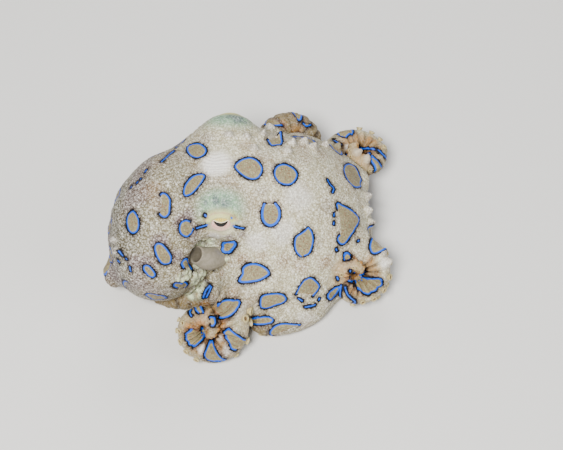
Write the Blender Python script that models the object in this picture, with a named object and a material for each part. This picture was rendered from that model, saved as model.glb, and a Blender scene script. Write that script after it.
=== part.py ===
"""A life-size blue-ringed octopus, hunched into a ball with its arms rolled up round it.

The mantle sac lies at -X, the arms spread at +X, and the right eye looks to -Y.
Lengths below are millimetres, and add_object turns them into metres. The floor is at z = 0.
"""
import bmesh
import bpy
import math
import numpy as np
from mathutils import Matrix

MM = 0.001

# Space that separate pieces keep between their faces
GAP = 0.3

# Puts the middle of the whole animal's footprint over the origin
STAND = (0.12, -0.7, 0.0)

# Rounded forms of the body: centre, half sizes, and turn in degrees about X, Y and Z
SAC = ((-14.4, -1.8, 12.6), (9.6, 13.3, 13.0), (0, 0, -18))
SAC_TIP = ((-21.8, -7.2, 7.6), (4.2, 2.3, 3.3), (0, -38, 22))
CRANIUM = ((-0.5, 3.8, 15.4), (11.5, 9.8, 9.4), (0, 0, 0))
BROW = ((-7.2, 4.5, 17.2), (7.4, 10.0, 6.6), (0, 0, 0))
BULGE_RIGHT = ((-4.7, -3.5, 20.0), (4.9, 4.5, 4.5), (0, 0, 0))
BULGE_LEFT = ((-3.6, 11.2, 20.4), (4.9, 4.5, 4.5), (0, 0, 0))
DOME = ((7.2, 3.6, 3.6), (14.4, 16.2, 17.2), (0, 0, 0))
DOME_NEAR = ((2.6, -4.6, 4.4), (9.4, 10.6, 10.4), (0, 0, 0))

# The fold that runs along the web's far edge, over the roots of the far arms: its ends and radius
FOLD = ((8.5, 15.4, 13.2), (19.4, 11.4, 8.8), 1.5)

# The pit between the mantle's edge and the web, which the funnel opens into
PIT = ((-8.0, -10.4, 14.4), (3.4, 4.2, 3.6), (0, 0, 0))
PIT_BLEND = 1.8

# How softly the forms run into one another
TIP_BLEND = 1.8
HEAD_BLEND = 4.0
BULGE_BLEND = 3.0
DOME_BLEND = 5.0
CROWN_BLEND = 6.0
FOLD_BLEND = 3.5
NECK_BLEND = 2.5
SHOULDER_BLEND = 3.0

# The thin cuts: the neck's plane crosses X here, the crown's plane has a point and a direction
NECK_X = -7.6
CROWN_POINT = (0.0, 2.0, 13.0)
CROWN_AIM = (0.70, 0.0, -0.714)

# Where the rays that find each surface start
SAC_HEART = (-13.0, -2.5, 12.0)
HEAD_HEART = (-1.5, 3.2, 15.0)
DOME_HEART = (6.0, 1.0, 6.0)
BODY_DETAIL = 4
RAY_REACH = 40.0
RAY_STEPS = 160
RAY_HALVINGS = 24

# Eyes: ball, and the slit between the lids as half sizes
EYE_RADIUS = 2.7
EYE_SIDES = 14
EYE_RINGS = 8
EYE_RIGHT = (-4.7, -5.15, 20.6)
EYE_LEFT = (-3.6, 12.85, 21.0)
GAZE_RIGHT = (0.0, -0.94, 0.34)
GAZE_LEFT = (0.0, 0.94, 0.34)
LID_HALF_WIDTH = 2.1
LID_HALF_HEIGHT = 1.7
LID_RADIUS = 0.5
LID_SEGMENTS = 8
LID_SIDES = 6
LID_LIFT = 0.25
LID_END_WIDTH = 0.75

# Funnel: a tapering tube below the right eye
FUNNEL_PATH = ((-1.0, -3.0, 8.0), (-3.8, -6.4, 11.2), (-6.4, -8.9, 13.7), (-9.2, -9.4, 15.1))
FUNNEL_ROOT_RADIUS = 2.6
FUNNEL_END_RADIUS = 1.6
FUNNEL_BORE = 1.05
FUNNEL_BORE_DEPTH = 2.6
FUNNEL_SIDES = 14
FUNNEL_STEP = 1.4
BORE_SIDES = 10
BORE_MOUTH = 0.8
BORE_FLARE = 1.2
BORE_NARROWS = 0.7

# The hollow under the web, with the mouth and the first suckers in its roof
HOLLOW = ((6.0, 1.0, 0.0), (10.4, 12.0, 3.6), (0, 0, 0))
HOLLOW_DETAIL = 3
LIP_RADIUS = 2.2
LIP_THICKNESS = 0.7
LIP_SEGMENTS = 14
LIP_SIDES = 6
CROWN_ARMS = 8
CROWN_FIRST = 4.6
CROWN_STEP = 2.8
CROWN_COUNT = 2
CROWN_SUCKER = 1.15
CROWN_GROWTH = 0.15

# Arms
ARM_SIDES = 8
ARM_RADIUS = 2.8
ARM_TIP_RADIUS = 0.45
ARM_STEP = 1.25
ARM_TAPER = 0.52
COIL_CLOSING = 2.2
COIL_RISING = 1.6
ARM_CUTS = (0.0, 0.34, 0.66, 1.0)
SHOULDER_SHARE = 0.62
ARM_SHOWS = 0.6
ARM_SUNK_POINTS = 2
SPIRAL_POINTS = 90
BEND_POINTS = 40
ROUTE_POINTS = 24
LENGTH_NAMES = ("upper", "middle", "tip")
SUCKER_SIDES = 6
SUCKER_TIP_SIDES = 5
SUCKER_TIP_SIZE = 0.62
SUCKER_SHARE = 0.33
SUCKER_HEIGHT = 0.62
SUCKER_SPREAD = 36
SUCKER_PITCH = 0.85
SUCKER_LEAST = 0.45
SUCKER_ROOT_DEPTH = 1.1
SUCKER_ROOT_WIDTH = 0.62
SUCKER_CUP_DEPTH = 0.25
SUCKER_SEAT = 0.94
SUCKER_MARGIN = 1.2
SUCKER_FIRST = 0.6
SUCKER_LAST = 0.3

# Each coiled arm: root in the dome, heading there, coil centre, direction that the coil faces,
# angle at which the arm joins the coil, its turn, the coil's first and last radius, how far the
# tip rises out of the coil's plane, and the length over which the arm tapers
COILED_ARMS = {
    "arm_r1": dict(root=(10.0, -3.0, 9.0), heading=(1.0, -0.2, 0.0), coil=(18.1, -6.8, 5.8),
                   face=(0.12, -0.66, 0.74), start=85, turn=-390, outer=4.1, inner=0.9, rise=4.8,
                   taper=25.0),
    "arm_r3": dict(root=(0.2, -8.0, 6.8), heading=(-0.2, -1.0, 0.1), coil=(-6.8, -17.7, 5.4),
                   face=(-0.2, -0.72, 0.66), start=28, turn=-390, outer=4.1, inner=0.9, rise=4.8,
                   taper=25.0),
    "arm_l1": dict(root=(9.0, 8.0, 7.0), heading=(0.6, 0.8, 0.0), coil=(19.2, 18.0, 5.2),
                   face=(0.15, 0.0, 0.98), start=110, turn=-390, outer=4.2, inner=0.9, rise=4.8,
                   taper=25.0),
    "arm_l3": dict(root=(-1.0, 9.5, 7.0), heading=(-0.2, 1.0, -0.1), coil=(-6.8, 19.0, 5.2),
                   face=(-0.25, 0.7, 0.66), start=130, turn=390, outer=4.1, inner=0.9, rise=4.8,
                   taper=25.0),
}

# Each arm that lies in loose bends: its route from the dome to the tip, where its suckers face,
# and its taper
LYING_ARMS = {
    "arm_l2": dict(route=((6.0, 9.5, 8.5), (3.4, 15.5, 10.9), (4.4, 20.2, 11.4), (8.0, 21.9, 10.8),
                          (10.6, 21.2, 8.2), (10.0, 21.3, 4.9), (7.2, 22.0, 2.7), (4.2, 22.3, 1.7)),
                   face=(0.0, 0.8, -0.6), taper=25.0),
    "arm_r2": dict(route=((10.0, -4.0, 5.0), (11.2, -9.0, 3.8), (8.8, -12.9, 3.2), (5.2, -15.2, 3.0),
                          (2.0, -15.2, 2.4), (0.4, -12.6, 1.8)), face=(0.0, 0.0, -1.0), taper=9.0),
    "arm_r4": dict(route=((-1.0, -5.0, 5.6), (-4.8, -8.2, 4.2), (-8.6, -9.4, 2.9),
                          (-12.6, -9.8, 2.1), (-16.4, -8.6, 1.4), (-18.0, -6.2, 0.9)),
                   face=(0.0, 0.0, -1.0), taper=17.0),
    "arm_l4": dict(route=((-2.0, 5.0, 5.0), (-6.0, 8.6, 3.8), (-9.8, 10.2, 2.8),
                          (-13.6, 9.2, 2.1), (-16.8, 6.6, 1.4), (-18.2, 3.8, 0.9)),
                   face=(0.0, 0.0, -1.0), taper=17.0),
}

SHOULDERS = []
FLAT_SIZE = 120.0
SMALL = 1e-9


def clear_scene():
    for item in list(bpy.data.objects):
        bpy.data.objects.remove(item)


def make_material(name, color, roughness):
    material = bpy.data.materials.new(name)
    material.use_nodes = True
    shader = material.node_tree.nodes["Principled BSDF"]
    shader.inputs["Base Color"].default_value = (*color, 1.0)
    shader.inputs["Roughness"].default_value = roughness
    shader.inputs["Metallic"].default_value = 0.0
    return material


def unit(vector):
    vector = np.asarray(vector, dtype=float)
    return vector / max(np.linalg.norm(vector), SMALL)


def turn_matrix(degrees):
    rx, ry, rz = (math.radians(angle) for angle in degrees)
    turn = Matrix.Rotation(rz, 3, "Z") @ Matrix.Rotation(ry, 3, "Y") @ Matrix.Rotation(rx, 3, "X")
    return np.array(turn)


def ellipsoid(points, form):
    """Roughly the distance from the points to a turned ellipsoid, negative inside."""
    center, radii, turn = form
    local = (points - np.array(center)) @ turn_matrix(turn)
    radii = np.array(radii)
    near = np.linalg.norm(local / radii, axis=-1)
    slope = np.linalg.norm(local / radii**2, axis=-1)
    return near * (near - 1.0) / np.maximum(slope, SMALL)


def capsule(points, start, end, radius):
    """Distance to a round-ended rod."""
    along = end - start
    share = np.clip((points - start) @ along / (along @ along), 0.0, 1.0)
    return np.linalg.norm(points - start - share[..., None] * along, axis=-1) - radius


def blend(first, second, softness):
    """Smooth minimum of two distances."""
    share = np.maximum(softness - np.abs(first - second), 0.0) / softness
    return np.minimum(first, second) - share * share * softness * 0.25


def body_distance(points):
    """The whole body without its arms, as one smooth skin."""
    sac = blend(ellipsoid(points, SAC), ellipsoid(points, SAC_TIP), TIP_BLEND)
    head = blend(ellipsoid(points, CRANIUM), ellipsoid(points, BROW), HEAD_BLEND)
    head = blend(head, ellipsoid(points, BULGE_RIGHT), BULGE_BLEND)
    head = blend(head, ellipsoid(points, BULGE_LEFT), BULGE_BLEND)
    dome = blend(ellipsoid(points, DOME), ellipsoid(points, DOME_NEAR), DOME_BLEND)
    dome = blend(dome, capsule(points, np.array(FOLD[0]), np.array(FOLD[1]), FOLD[2]), FOLD_BLEND)
    for start, end in SHOULDERS:
        dome = blend(dome, capsule(points, start, end, ARM_RADIUS), SHOULDER_BLEND)
    body = blend(sac, blend(head, dome, CROWN_BLEND), NECK_BLEND)
    return -blend(-body, ellipsoid(points, PIT), PIT_BLEND)


def surface_radii(distance, heart, directions, grow):
    """How far along each direction the outermost surface lies."""
    steps = np.linspace(RAY_REACH, 0.0, RAY_STEPS)
    points = heart + directions[:, None, :] * steps[None, :, None]
    inside = distance(points) - grow < 0.0
    first = np.argmax(inside, axis=1)
    outer = steps[np.maximum(first - 1, 0)]
    inner = steps[first]
    for _ in range(RAY_HALVINGS):
        middle = (outer + inner) / 2
        hit = distance(heart + directions * middle[:, None]) - grow < 0.0
        inner = np.where(hit, middle, inner)
        outer = np.where(hit, outer, middle)
    return inner


def add_object(name, vertices, faces, material=None):
    mesh = bpy.data.meshes.new(name)
    placed = (np.asarray(vertices, dtype=float) + STAND) * MM
    mesh.from_pydata([tuple(place) for place in placed], [], faces)
    item = bpy.data.objects.new(name, mesh)
    bpy.context.scene.collection.objects.link(item)
    if material:
        mesh.materials.append(material)
    orient(mesh)
    return item


def orient(mesh):
    """Turn all faces outwards and split them into triangles."""
    work = bmesh.new()
    work.from_mesh(mesh)
    bmesh.ops.triangulate(work, faces=work.faces)
    bmesh.ops.recalc_face_normals(work, faces=work.faces)
    if work.calc_volume(signed=True) < 0:
        bmesh.ops.reverse_faces(work, faces=work.faces)
    work.to_mesh(mesh)
    work.free()
    mesh.shade_smooth()


def cast_form(name, distance, heart, material=None, grow=0.0):
    """A ball pushed out from its heart on to a distance function's surface."""
    work = bmesh.new()
    bmesh.ops.create_icosphere(work, subdivisions=BODY_DETAIL, radius=1.0)
    directions = np.array([unit(vertex.co) for vertex in work.verts])
    faces = [[vertex.index for vertex in face.verts] for face in work.faces]
    work.free()
    heart = np.array(heart)
    radii = surface_radii(distance, heart, directions, grow)
    return add_object(name, heart + directions * radii[:, None], faces, material)


def side_frame(tangent, up):
    """Two directions square to the tangent, the second nearest to up."""
    up = up - tangent * np.dot(up, tangent)
    up = unit(up)
    return np.cross(tangent, up), up


def tube(name, points, radii, ups, sides, material=None, tangents=None):
    """A closed tube along points, whose first side at each point faces its up direction."""
    points = np.asarray(points, dtype=float)
    if tangents is None:
        tangents = np.gradient(points, axis=0)
    vertices = []
    for point, tangent, radius, up in zip(points, tangents, radii, ups):
        across, up = side_frame(unit(tangent), np.asarray(up, dtype=float))
        for side in range(sides):
            angle = 2 * math.pi * side / sides
            vertices.append(point + radius * (math.cos(angle) * up + math.sin(angle) * across))
    faces = []
    for ring in range(len(points) - 1):
        for side in range(sides):
            low = ring * sides
            after = (side + 1) % sides
            faces.append([low + side, low + after, low + sides + after, low + sides + side])
    last = (len(points) - 1) * sides
    faces.append(list(range(sides))[::-1])
    faces.append([last + side for side in range(sides)])
    return add_object(name, vertices, faces, material)


def smooth_route(route, step):
    """Points a step apart on a smooth curve through the route's own points."""
    route = np.asarray(route, dtype=float)
    padded = np.vstack([2 * route[0] - route[1], route, 2 * route[-1] - route[-2]])
    fine = []
    for index in range(len(route) - 1):
        a, b, c, d = padded[index:index + 4]
        for t in np.linspace(0, 1, ROUTE_POINTS, endpoint=False):
            fine.append(0.5 * (2 * b + (c - a) * t + (2 * a - 5 * b + 4 * c - d) * t**2
                               + (3 * b - a - 3 * c + d) * t**3))
    fine.append(route[-1])
    return even_points(np.array(fine), step)


def even_points(points, step):
    lengths = np.concatenate([[0], np.cumsum(np.linalg.norm(np.diff(points, axis=0), axis=1))])
    count = max(int(round(lengths[-1] / step)), 2)
    places = np.linspace(0, lengths[-1], count + 1)
    return np.stack([np.interp(places, lengths, points[:, axis]) for axis in range(3)], axis=1)


def coil_route(arm):
    """An arm's middle line: out of the dome in a bend, then round its flat spiral."""
    face = unit(arm["face"])
    right = unit(np.cross((0, 0, 1), face))
    up = np.cross(face, right)
    coil = np.array(arm["coil"])
    spiral = []
    for share in np.linspace(0, 1, SPIRAL_POINTS):
        angle = math.radians(arm["start"] + arm["turn"] * share)
        radius = arm["outer"] + (arm["inner"] - arm["outer"]) * share**COIL_CLOSING
        flat = math.cos(angle) * right + math.sin(angle) * up
        spiral.append(coil + radius * flat + face * arm["rise"] * share**COIL_RISING)
    spiral = np.array(spiral)
    root = np.array(arm["root"])
    reach = np.linalg.norm(spiral[0] - root)
    leave = unit(arm["heading"]) * reach
    arrive = unit(spiral[1] - spiral[0]) * reach
    bend = []
    for t in np.linspace(0, 1, BEND_POINTS, endpoint=False):
        bend.append((2 * t**3 - 3 * t**2 + 1) * root + (t**3 - 2 * t**2 + t) * leave
                    + (3 * t**2 - 2 * t**3) * spiral[0] + (t**3 - t**2) * arrive)
    points = even_points(np.vstack([bend, spiral]), ARM_STEP)
    start = int(np.argmin(np.linalg.norm(points - spiral[0], axis=1)))
    return points, carry_back(points, points - coil, start)


def carry_back(points, orals, start):
    """Carry the suckers' direction from one point back to the root without twisting the arm."""
    tangents = np.gradient(points, axis=0)
    for index in range(start - 1, -1, -1):
        _, orals[index] = side_frame(unit(tangents[index]), orals[index + 1])
    return orals


def arm_radii(count, taper):
    """An even radius near the root, and a long taper out to the tip."""
    from_tip = np.arange(count)[::-1] * ARM_STEP
    share = np.minimum(from_tip / taper, 1.0)
    return ARM_TIP_RADIUS + (ARM_RADIUS - ARM_TIP_RADIUS) * share**ARM_TAPER


def sucker(name, place, outward, along, radius):
    """A low cup on a sunk stalk, with a rim and a hollow middle."""
    across = np.cross(outward, along)
    sides = SUCKER_SIDES if radius > SUCKER_TIP_SIZE else SUCKER_TIP_SIDES
    vertices = []
    height = SUCKER_HEIGHT * radius
    for level, width in ((-SUCKER_ROOT_DEPTH * radius, SUCKER_ROOT_WIDTH), (height, 1.0)):
        for side in range(sides):
            angle = 2 * math.pi * side / sides
            spread = math.cos(angle) * along + math.sin(angle) * across
            vertices.append(place + level * outward + width * radius * spread)
    vertices.append(place + SUCKER_CUP_DEPTH * height * outward)
    faces = [list(range(sides))[::-1]]
    for side in range(sides):
        after = (side + 1) % sides
        faces.append([side, after, sides + after, sides + side])
        faces.append([sides + side, sides + after, 2 * sides])
    return add_object(name, vertices, faces)


def arm_suckers(points, radii, orals, first, last):
    """Two alternating rows of suckers between two points of an arm."""
    made = []
    steps = np.linalg.norm(np.diff(points, axis=0), axis=1)
    lengths = np.concatenate([[0], np.cumsum(steps)])
    place = SUCKER_FIRST
    side = 1
    tangents = np.gradient(points, axis=0)
    while place < lengths[-1] - SUCKER_LAST:
        spot = [np.interp(place, lengths, points[:, axis]) for axis in range(3)]
        index = int(np.searchsorted(lengths, place))
        radius = float(np.interp(place, lengths, radii))
        size = max(SUCKER_SHARE * radius, SUCKER_LEAST)
        margin = size * SUCKER_MARGIN
        if lengths[first] + margin < place < lengths[last] - margin:
            tangent = unit(tangents[index])
            across, oral = side_frame(tangent, orals[index])
            spread = math.radians(SUCKER_SPREAD) * side
            outward = math.cos(spread) * oral + math.sin(spread) * across
            seat = np.array(spot) + outward * radius * SUCKER_SEAT
            made.append(sucker("cup", seat, outward, tangent, size))
        place += size * 2 * SUCKER_PITCH
        side = -side
    return made


def join_pieces(item, pieces, operation, solver="MANIFOLD"):
    """Apply one Boolean of a whole collection of closed pieces, and remove the pieces."""
    if not pieces:
        return
    group = bpy.data.collections.new("pieces")
    bpy.context.scene.collection.children.link(group)
    for piece in pieces:
        group.objects.link(piece)
    modifier = item.modifiers.new("join", "BOOLEAN")
    modifier.operation = operation
    modifier.operand_type = "COLLECTION"
    modifier.collection = group
    modifier.solver = solver
    apply_modifiers(item)
    for piece in pieces:
        bpy.data.objects.remove(piece)
    bpy.data.collections.remove(group)
    keep_largest(item.data)


def apply_modifiers(item):
    graph = bpy.context.evaluated_depsgraph_get()
    mesh = bpy.data.meshes.new_from_object(item.evaluated_get(graph))
    item.modifiers.clear()
    item.data = mesh


def keep_largest(mesh):
    """Keep only the closed surface that holds the most volume."""
    work = bmesh.new()
    work.from_mesh(mesh)
    left = set(work.faces)
    shells = []
    while left:
        seed = left.pop()
        shell = {seed}
        queue = [seed]
        while queue:
            face = queue.pop()
            for edge in face.edges:
                for other in edge.link_faces:
                    if other in left:
                        left.discard(other)
                        shell.add(other)
                        queue.append(other)
        shells.append(shell)
    shells.sort(key=shell_volume, reverse=True)
    drop = [face for shell in shells[1:] for face in shell]
    bmesh.ops.delete(work, geom=drop, context="FACES")
    bmesh.ops.triangulate(work, faces=work.faces)
    work.to_mesh(mesh)
    work.free()


def shell_volume(shell):
    volume = 0.0
    for face in shell:
        corners = [vertex.co for vertex in face.verts]
        for index in range(1, len(corners) - 1):
            volume += corners[0].dot(corners[index].cross(corners[index + 1])) / 6
    return volume


def half_space(point, aim):
    """A big block that fills all that lies behind a plane."""
    aim = unit(aim)
    across, up = side_frame(aim, np.array((0.0, 0.13, 1.0)))
    size = FLAT_SIZE / 2
    corners = []
    for depth in (-size, 0.0):
        for y in (-size, size):
            for x in (-size, size):
                corners.append(np.array(point) + depth * aim + y * up + x * across)
    faces = [(0, 2, 3, 1), (4, 5, 7, 6), (0, 1, 5, 4), (2, 6, 7, 3), (0, 4, 6, 2), (1, 3, 7, 5)]
    return add_object("block", corners, faces)


def floor_block():
    return half_space((0, 0, 0), (0, 0, 1))


def ball(name, center, radius, material=None):
    work = bmesh.new()
    bmesh.ops.create_uvsphere(work, u_segments=EYE_SIDES, v_segments=EYE_RINGS, radius=radius)
    vertices = [np.array(vertex.co) + np.array(center) for vertex in work.verts]
    faces = [[vertex.index for vertex in face.verts] for face in work.faces]
    work.free()
    return add_object(name, vertices, faces, material)


def eyelids(center, gaze):
    """An upper and a lower fold round the slit of one eye."""
    gaze = unit(gaze)
    across, up = side_frame(gaze, np.array((0.0, 0.0, 1.0)))
    made = []
    for direction in (1, -1):
        points = []
        for angle in np.linspace(0, math.pi, LID_SEGMENTS):
            reach = across * LID_HALF_WIDTH * math.cos(angle)
            reach = reach + up * direction * LID_HALF_HEIGHT * math.sin(angle)
            depth = math.sqrt((EYE_RADIUS + LID_LIFT)**2 - float(reach @ reach))
            points.append(np.array(center) + reach + gaze * depth)
        fullness = np.sin(np.linspace(0, math.pi, LID_SEGMENTS))
        radii = LID_RADIUS * (LID_END_WIDTH + (1 - LID_END_WIDTH) * fullness)
        made.append(tube("lid", points, radii, [gaze] * LID_SEGMENTS, LID_SIDES))
    return made


def make_funnel(material):
    route = smooth_route(FUNNEL_PATH, FUNNEL_STEP)
    radii = np.linspace(FUNNEL_ROOT_RADIUS, FUNNEL_END_RADIUS, len(route))
    ups = [(0, 0, 1)] * len(route)
    funnel = tube("funnel", route, radii, ups, FUNNEL_SIDES, material)
    aim = unit(route[-1] - route[-2])
    bore = np.array([route[-1] + aim * BORE_MOUTH, route[-1] - aim * FUNNEL_BORE_DEPTH])
    widths = [FUNNEL_BORE * BORE_FLARE, FUNNEL_BORE * BORE_NARROWS]
    hole = tube("bore", bore, widths, [(0, 0, 1)] * 2, BORE_SIDES)
    join_pieces(funnel, [hole], "DIFFERENCE")
    return funnel


def hollow_cutter():
    """The space under the web, as a flattened ball."""
    center, radii, _ = HOLLOW
    work = bmesh.new()
    bmesh.ops.create_icosphere(work, subdivisions=HOLLOW_DETAIL, radius=1.0)
    vertices = [np.array(center) + np.array(radii) * np.array(vertex.co) for vertex in work.verts]
    faces = [[vertex.index for vertex in face.verts] for face in work.faces]
    work.free()
    return add_object("hollow", vertices, faces)


def hollow_roof(x, y):
    center, radii, _ = HOLLOW
    share = ((x - center[0]) / radii[0])**2 + ((y - center[1]) / radii[1])**2
    return np.array((x, y, center[2] + radii[2] * math.sqrt(max(1.0 - share, 0.0))))


def lip_ring(mouth):
    """A closed ring of lip round the mouth."""
    vertices = []
    faces = []
    up = np.array((0.0, 0.0, 1.0))
    for index in range(LIP_SEGMENTS):
        heading = 2 * math.pi * index / LIP_SEGMENTS
        outward = np.array((math.cos(heading), math.sin(heading), 0.0))
        for side in range(LIP_SIDES):
            angle = 2 * math.pi * side / LIP_SIDES
            spread = math.cos(angle) * outward + math.sin(angle) * up
            vertices.append(mouth + LIP_RADIUS * outward + LIP_THICKNESS * spread)
    for index in range(LIP_SEGMENTS):
        for side in range(LIP_SIDES):
            here = index * LIP_SIDES
            there = (index + 1) % LIP_SEGMENTS * LIP_SIDES
            after = (side + 1) % LIP_SIDES
            faces.append([here + side, here + after, there + after, there + side])
    return add_object("lip", vertices, faces)


def crown_pieces():
    """The lips, and the suckers that run out from the mouth under each arm."""
    mouth = hollow_roof(*HOLLOW[0][:2])
    made = [lip_ring(mouth)]
    for arm in range(CROWN_ARMS):
        heading = 2 * math.pi * (arm + 0.5) / CROWN_ARMS
        outward = np.array((math.cos(heading), math.sin(heading), 0.0))
        for index in range(CROWN_COUNT):
            x, y, _ = mouth + outward * (CROWN_FIRST + CROWN_STEP * index)
            size = CROWN_SUCKER * (1.0 - CROWN_GROWTH + CROWN_GROWTH * index)
            made.append(sucker("cup", hollow_roof(x, y), np.array((0.0, 0.0, -1.0)), outward, size))
    return made


def body_shells():
    """The whole body, grown by the gap that its neighbours keep from it."""
    hearts = (SAC_HEART, HEAD_HEART, DOME_HEART)
    return [cast_form("shell", body_distance, heart, grow=GAP) for heart in hearts]


def copies(items):
    made = []
    for item in items:
        twin = bpy.data.objects.new("cutter", item.data.copy())
        bpy.context.scene.collection.objects.link(twin)
        made.append(twin)
    return made


def arm_lines():
    """Each arm's middle line, the direction of its suckers, and its radii."""
    arms = {}
    for name, arm in COILED_ARMS.items():
        points, orals = coil_route(arm)
        arms[name] = (points, orals, arm_radii(len(points), arm["taper"]))
    for name, arm in LYING_ARMS.items():
        points = smooth_route(arm["route"], ARM_STEP)
        orals = np.tile(arm["face"], (len(points), 1))
        arms[name] = (points, orals, arm_radii(len(points), arm["taper"]))
    return arms


def arm_shoulders(arms):
    """A short rod along each arm's first stretch, which swells the web where the arm leaves it."""
    made = []
    for points, _, _ in arms.values():
        free = int(np.argmax(body_distance(points) > 0))
        last = max(int(round(free * SHOULDER_SHARE)), 1)
        made.append((points[0], points[last]))
    return made


def main():
    clear_scene()
    skin = make_material("skin", (0.62, 0.56, 0.47), 0.45)
    pale = make_material("pale_skin", (0.72, 0.68, 0.60), 0.45)
    grey = make_material("funnel_skin", (0.40, 0.38, 0.34), 0.35)
    iris = make_material("eye", (0.72, 0.66, 0.40), 0.15)

    arms = arm_lines()
    SHOULDERS.extend(arm_shoulders(arms))
    shells = body_shells()
    neck = np.array((NECK_X, 0.0, 0.0))
    forward = np.array((1.0, 0.0, 0.0))
    crown = np.array(CROWN_POINT)
    down = unit(CROWN_AIM)
    mantle = cast_form("mantle", body_distance, SAC_HEART, skin)
    join_pieces(mantle, [floor_block(), half_space(neck - forward * GAP / 2, -forward)], "DIFFERENCE")

    eyes = (("eye_right", EYE_RIGHT, GAZE_RIGHT), ("eye_left", EYE_LEFT, GAZE_LEFT))
    head = cast_form("head", body_distance, HEAD_HEART, skin)
    lids = [lid for _, center, gaze in eyes for lid in eyelids(center, gaze)]
    join_pieces(head, lids, "UNION")
    sockets = [ball("socket", center, EYE_RADIUS + GAP) for _, center, _ in eyes]
    sockets.append(half_space(neck + forward * GAP / 2, forward))
    sockets.append(half_space(crown - down * GAP / 2, -down))
    join_pieces(head, sockets, "DIFFERENCE")
    for name, center, _ in eyes:
        ball(name, center, EYE_RADIUS, iris)

    web = cast_form("web", body_distance, DOME_HEART, pale)
    cutters = [half_space(neck + forward * GAP / 2, forward)]
    cutters.append(half_space(crown + down * GAP / 2, down))
    cutters += [floor_block(), hollow_cutter()]
    join_pieces(web, cutters, "DIFFERENCE")
    join_pieces(web, crown_pieces(), "UNION")

    funnel = make_funnel(grey)
    join_pieces(funnel, copies(shells), "DIFFERENCE")

    for name, (points, orals, radii) in arms.items():
        tangents = np.gradient(points, axis=0)
        free = int(np.argmax(body_distance(points) + ARM_SHOWS * radii > 0))
        cuts = [free + int(round(share * (len(points) - 1 - free))) for share in ARM_CUTS]
        cuts[0] = max(free - ARM_SUNK_POINTS, 0)
        for length, word in enumerate(LENGTH_NAMES):
            first = cuts[length]
            last = cuts[length + 1]
            stretch = slice(first, last + 1)
            part_points = points[stretch].copy()
            if length:
                part_points[0] += unit(tangents[first]) * GAP
            piece = tube(f"{name}_{word}", part_points, radii[stretch], orals[stretch],
                         ARM_SIDES, skin, tangents[stretch])
            join_pieces(piece, arm_suckers(points, radii, orals, first, last), "UNION")
            join_pieces(piece, copies(shells) + [floor_block()], "DIFFERENCE")
    for shell in shells:
        bpy.data.objects.remove(shell)


main()
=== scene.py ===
"""The looks of a life-size blue-ringed octopus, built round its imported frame.

Lengths are millimetres in the animal's own coordinates, as in the source of the solids.
place() moves them by STAND and turns them into metres. Places read from the photograph are
pixels of its 563 x 450 frame, with the names that say what they mark.
"""
import math

import bmesh
import bpy
import numpy as np
from mathutils import Matrix, Vector
from mathutils.bvhtree import BVHTree
from mathutils.kdtree import KDTree

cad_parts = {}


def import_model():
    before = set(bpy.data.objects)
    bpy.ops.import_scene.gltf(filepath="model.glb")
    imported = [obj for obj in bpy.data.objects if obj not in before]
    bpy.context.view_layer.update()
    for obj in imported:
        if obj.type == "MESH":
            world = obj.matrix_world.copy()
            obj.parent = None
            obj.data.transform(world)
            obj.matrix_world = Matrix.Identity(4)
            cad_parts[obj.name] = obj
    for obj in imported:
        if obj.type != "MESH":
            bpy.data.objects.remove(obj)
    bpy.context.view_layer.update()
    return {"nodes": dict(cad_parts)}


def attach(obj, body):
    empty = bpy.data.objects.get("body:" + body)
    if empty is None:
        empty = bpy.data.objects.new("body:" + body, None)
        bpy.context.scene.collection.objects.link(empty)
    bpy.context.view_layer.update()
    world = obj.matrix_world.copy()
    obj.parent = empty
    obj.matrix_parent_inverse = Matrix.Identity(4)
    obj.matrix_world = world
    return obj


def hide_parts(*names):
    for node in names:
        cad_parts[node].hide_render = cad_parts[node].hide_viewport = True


MM = 0.001
SMALL = 1e-9
STAND = np.array((0.12, -0.7, 0.0))

# The photograph's frame and viewing angle
PHOTO_WIDTH = 563
PHOTO_HEIGHT = 450
LENS = 100.0
SENSOR = 36.0
FOCAL = PHOTO_WIDTH * LENS / SENSOR
ELEVATION = math.radians(55)
CAMERA_DISTANCE = 270.0
CAMERA_AIM = np.array((5.4, -2.17, 13.49))
CAMERA_RIGHT = np.array((1.0, 0.0, 0.0))
CAMERA_UP = np.array((0.0, math.sin(ELEVATION), math.cos(ELEVATION)))
CAMERA_BACK = np.array((0.0, -math.cos(ELEVATION), math.sin(ELEVATION)))
CAMERA_PLACE = CAMERA_AIM + CAMERA_DISTANCE * CAMERA_BACK
PIXEL = CAMERA_DISTANCE / FOCAL

# Rounded forms of the body: centre, half sizes, and turn in degrees about X, Y and Z
SAC = ((-14.4, -1.8, 12.6), (9.6, 13.3, 13.0), (0, 0, -18))
SAC_TIP = ((-21.8, -7.2, 7.6), (4.2, 2.3, 3.3), (0, -38, 22))
CRANIUM = ((-0.5, 3.8, 15.4), (11.5, 9.8, 9.4), (0, 0, 0))
BROW = ((-7.2, 4.5, 17.2), (7.4, 10.0, 6.6), (0, 0, 0))
BULGE_RIGHT = ((-4.7, -3.5, 20.0), (4.9, 4.5, 4.5), (0, 0, 0))
BULGE_LEFT = ((-3.6, 11.2, 20.4), (4.9, 4.5, 4.5), (0, 0, 0))
DOME = ((7.2, 3.6, 3.6), (14.4, 16.2, 17.2), (0, 0, 0))
DOME_NEAR = ((2.6, -4.6, 4.4), (9.4, 10.6, 10.4), (0, 0, 0))
FOLD = ((8.5, 15.4, 13.2), (19.4, 11.4, 8.8), 1.5)
PIT = ((-7.4, -10.2, 14.9), (2.8, 3.6, 3.0), (0, 0, 0))
HOLLOW = ((6.0, 1.0, 0.0), (10.4, 12.0, 3.6), (0, 0, 0))

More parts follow.
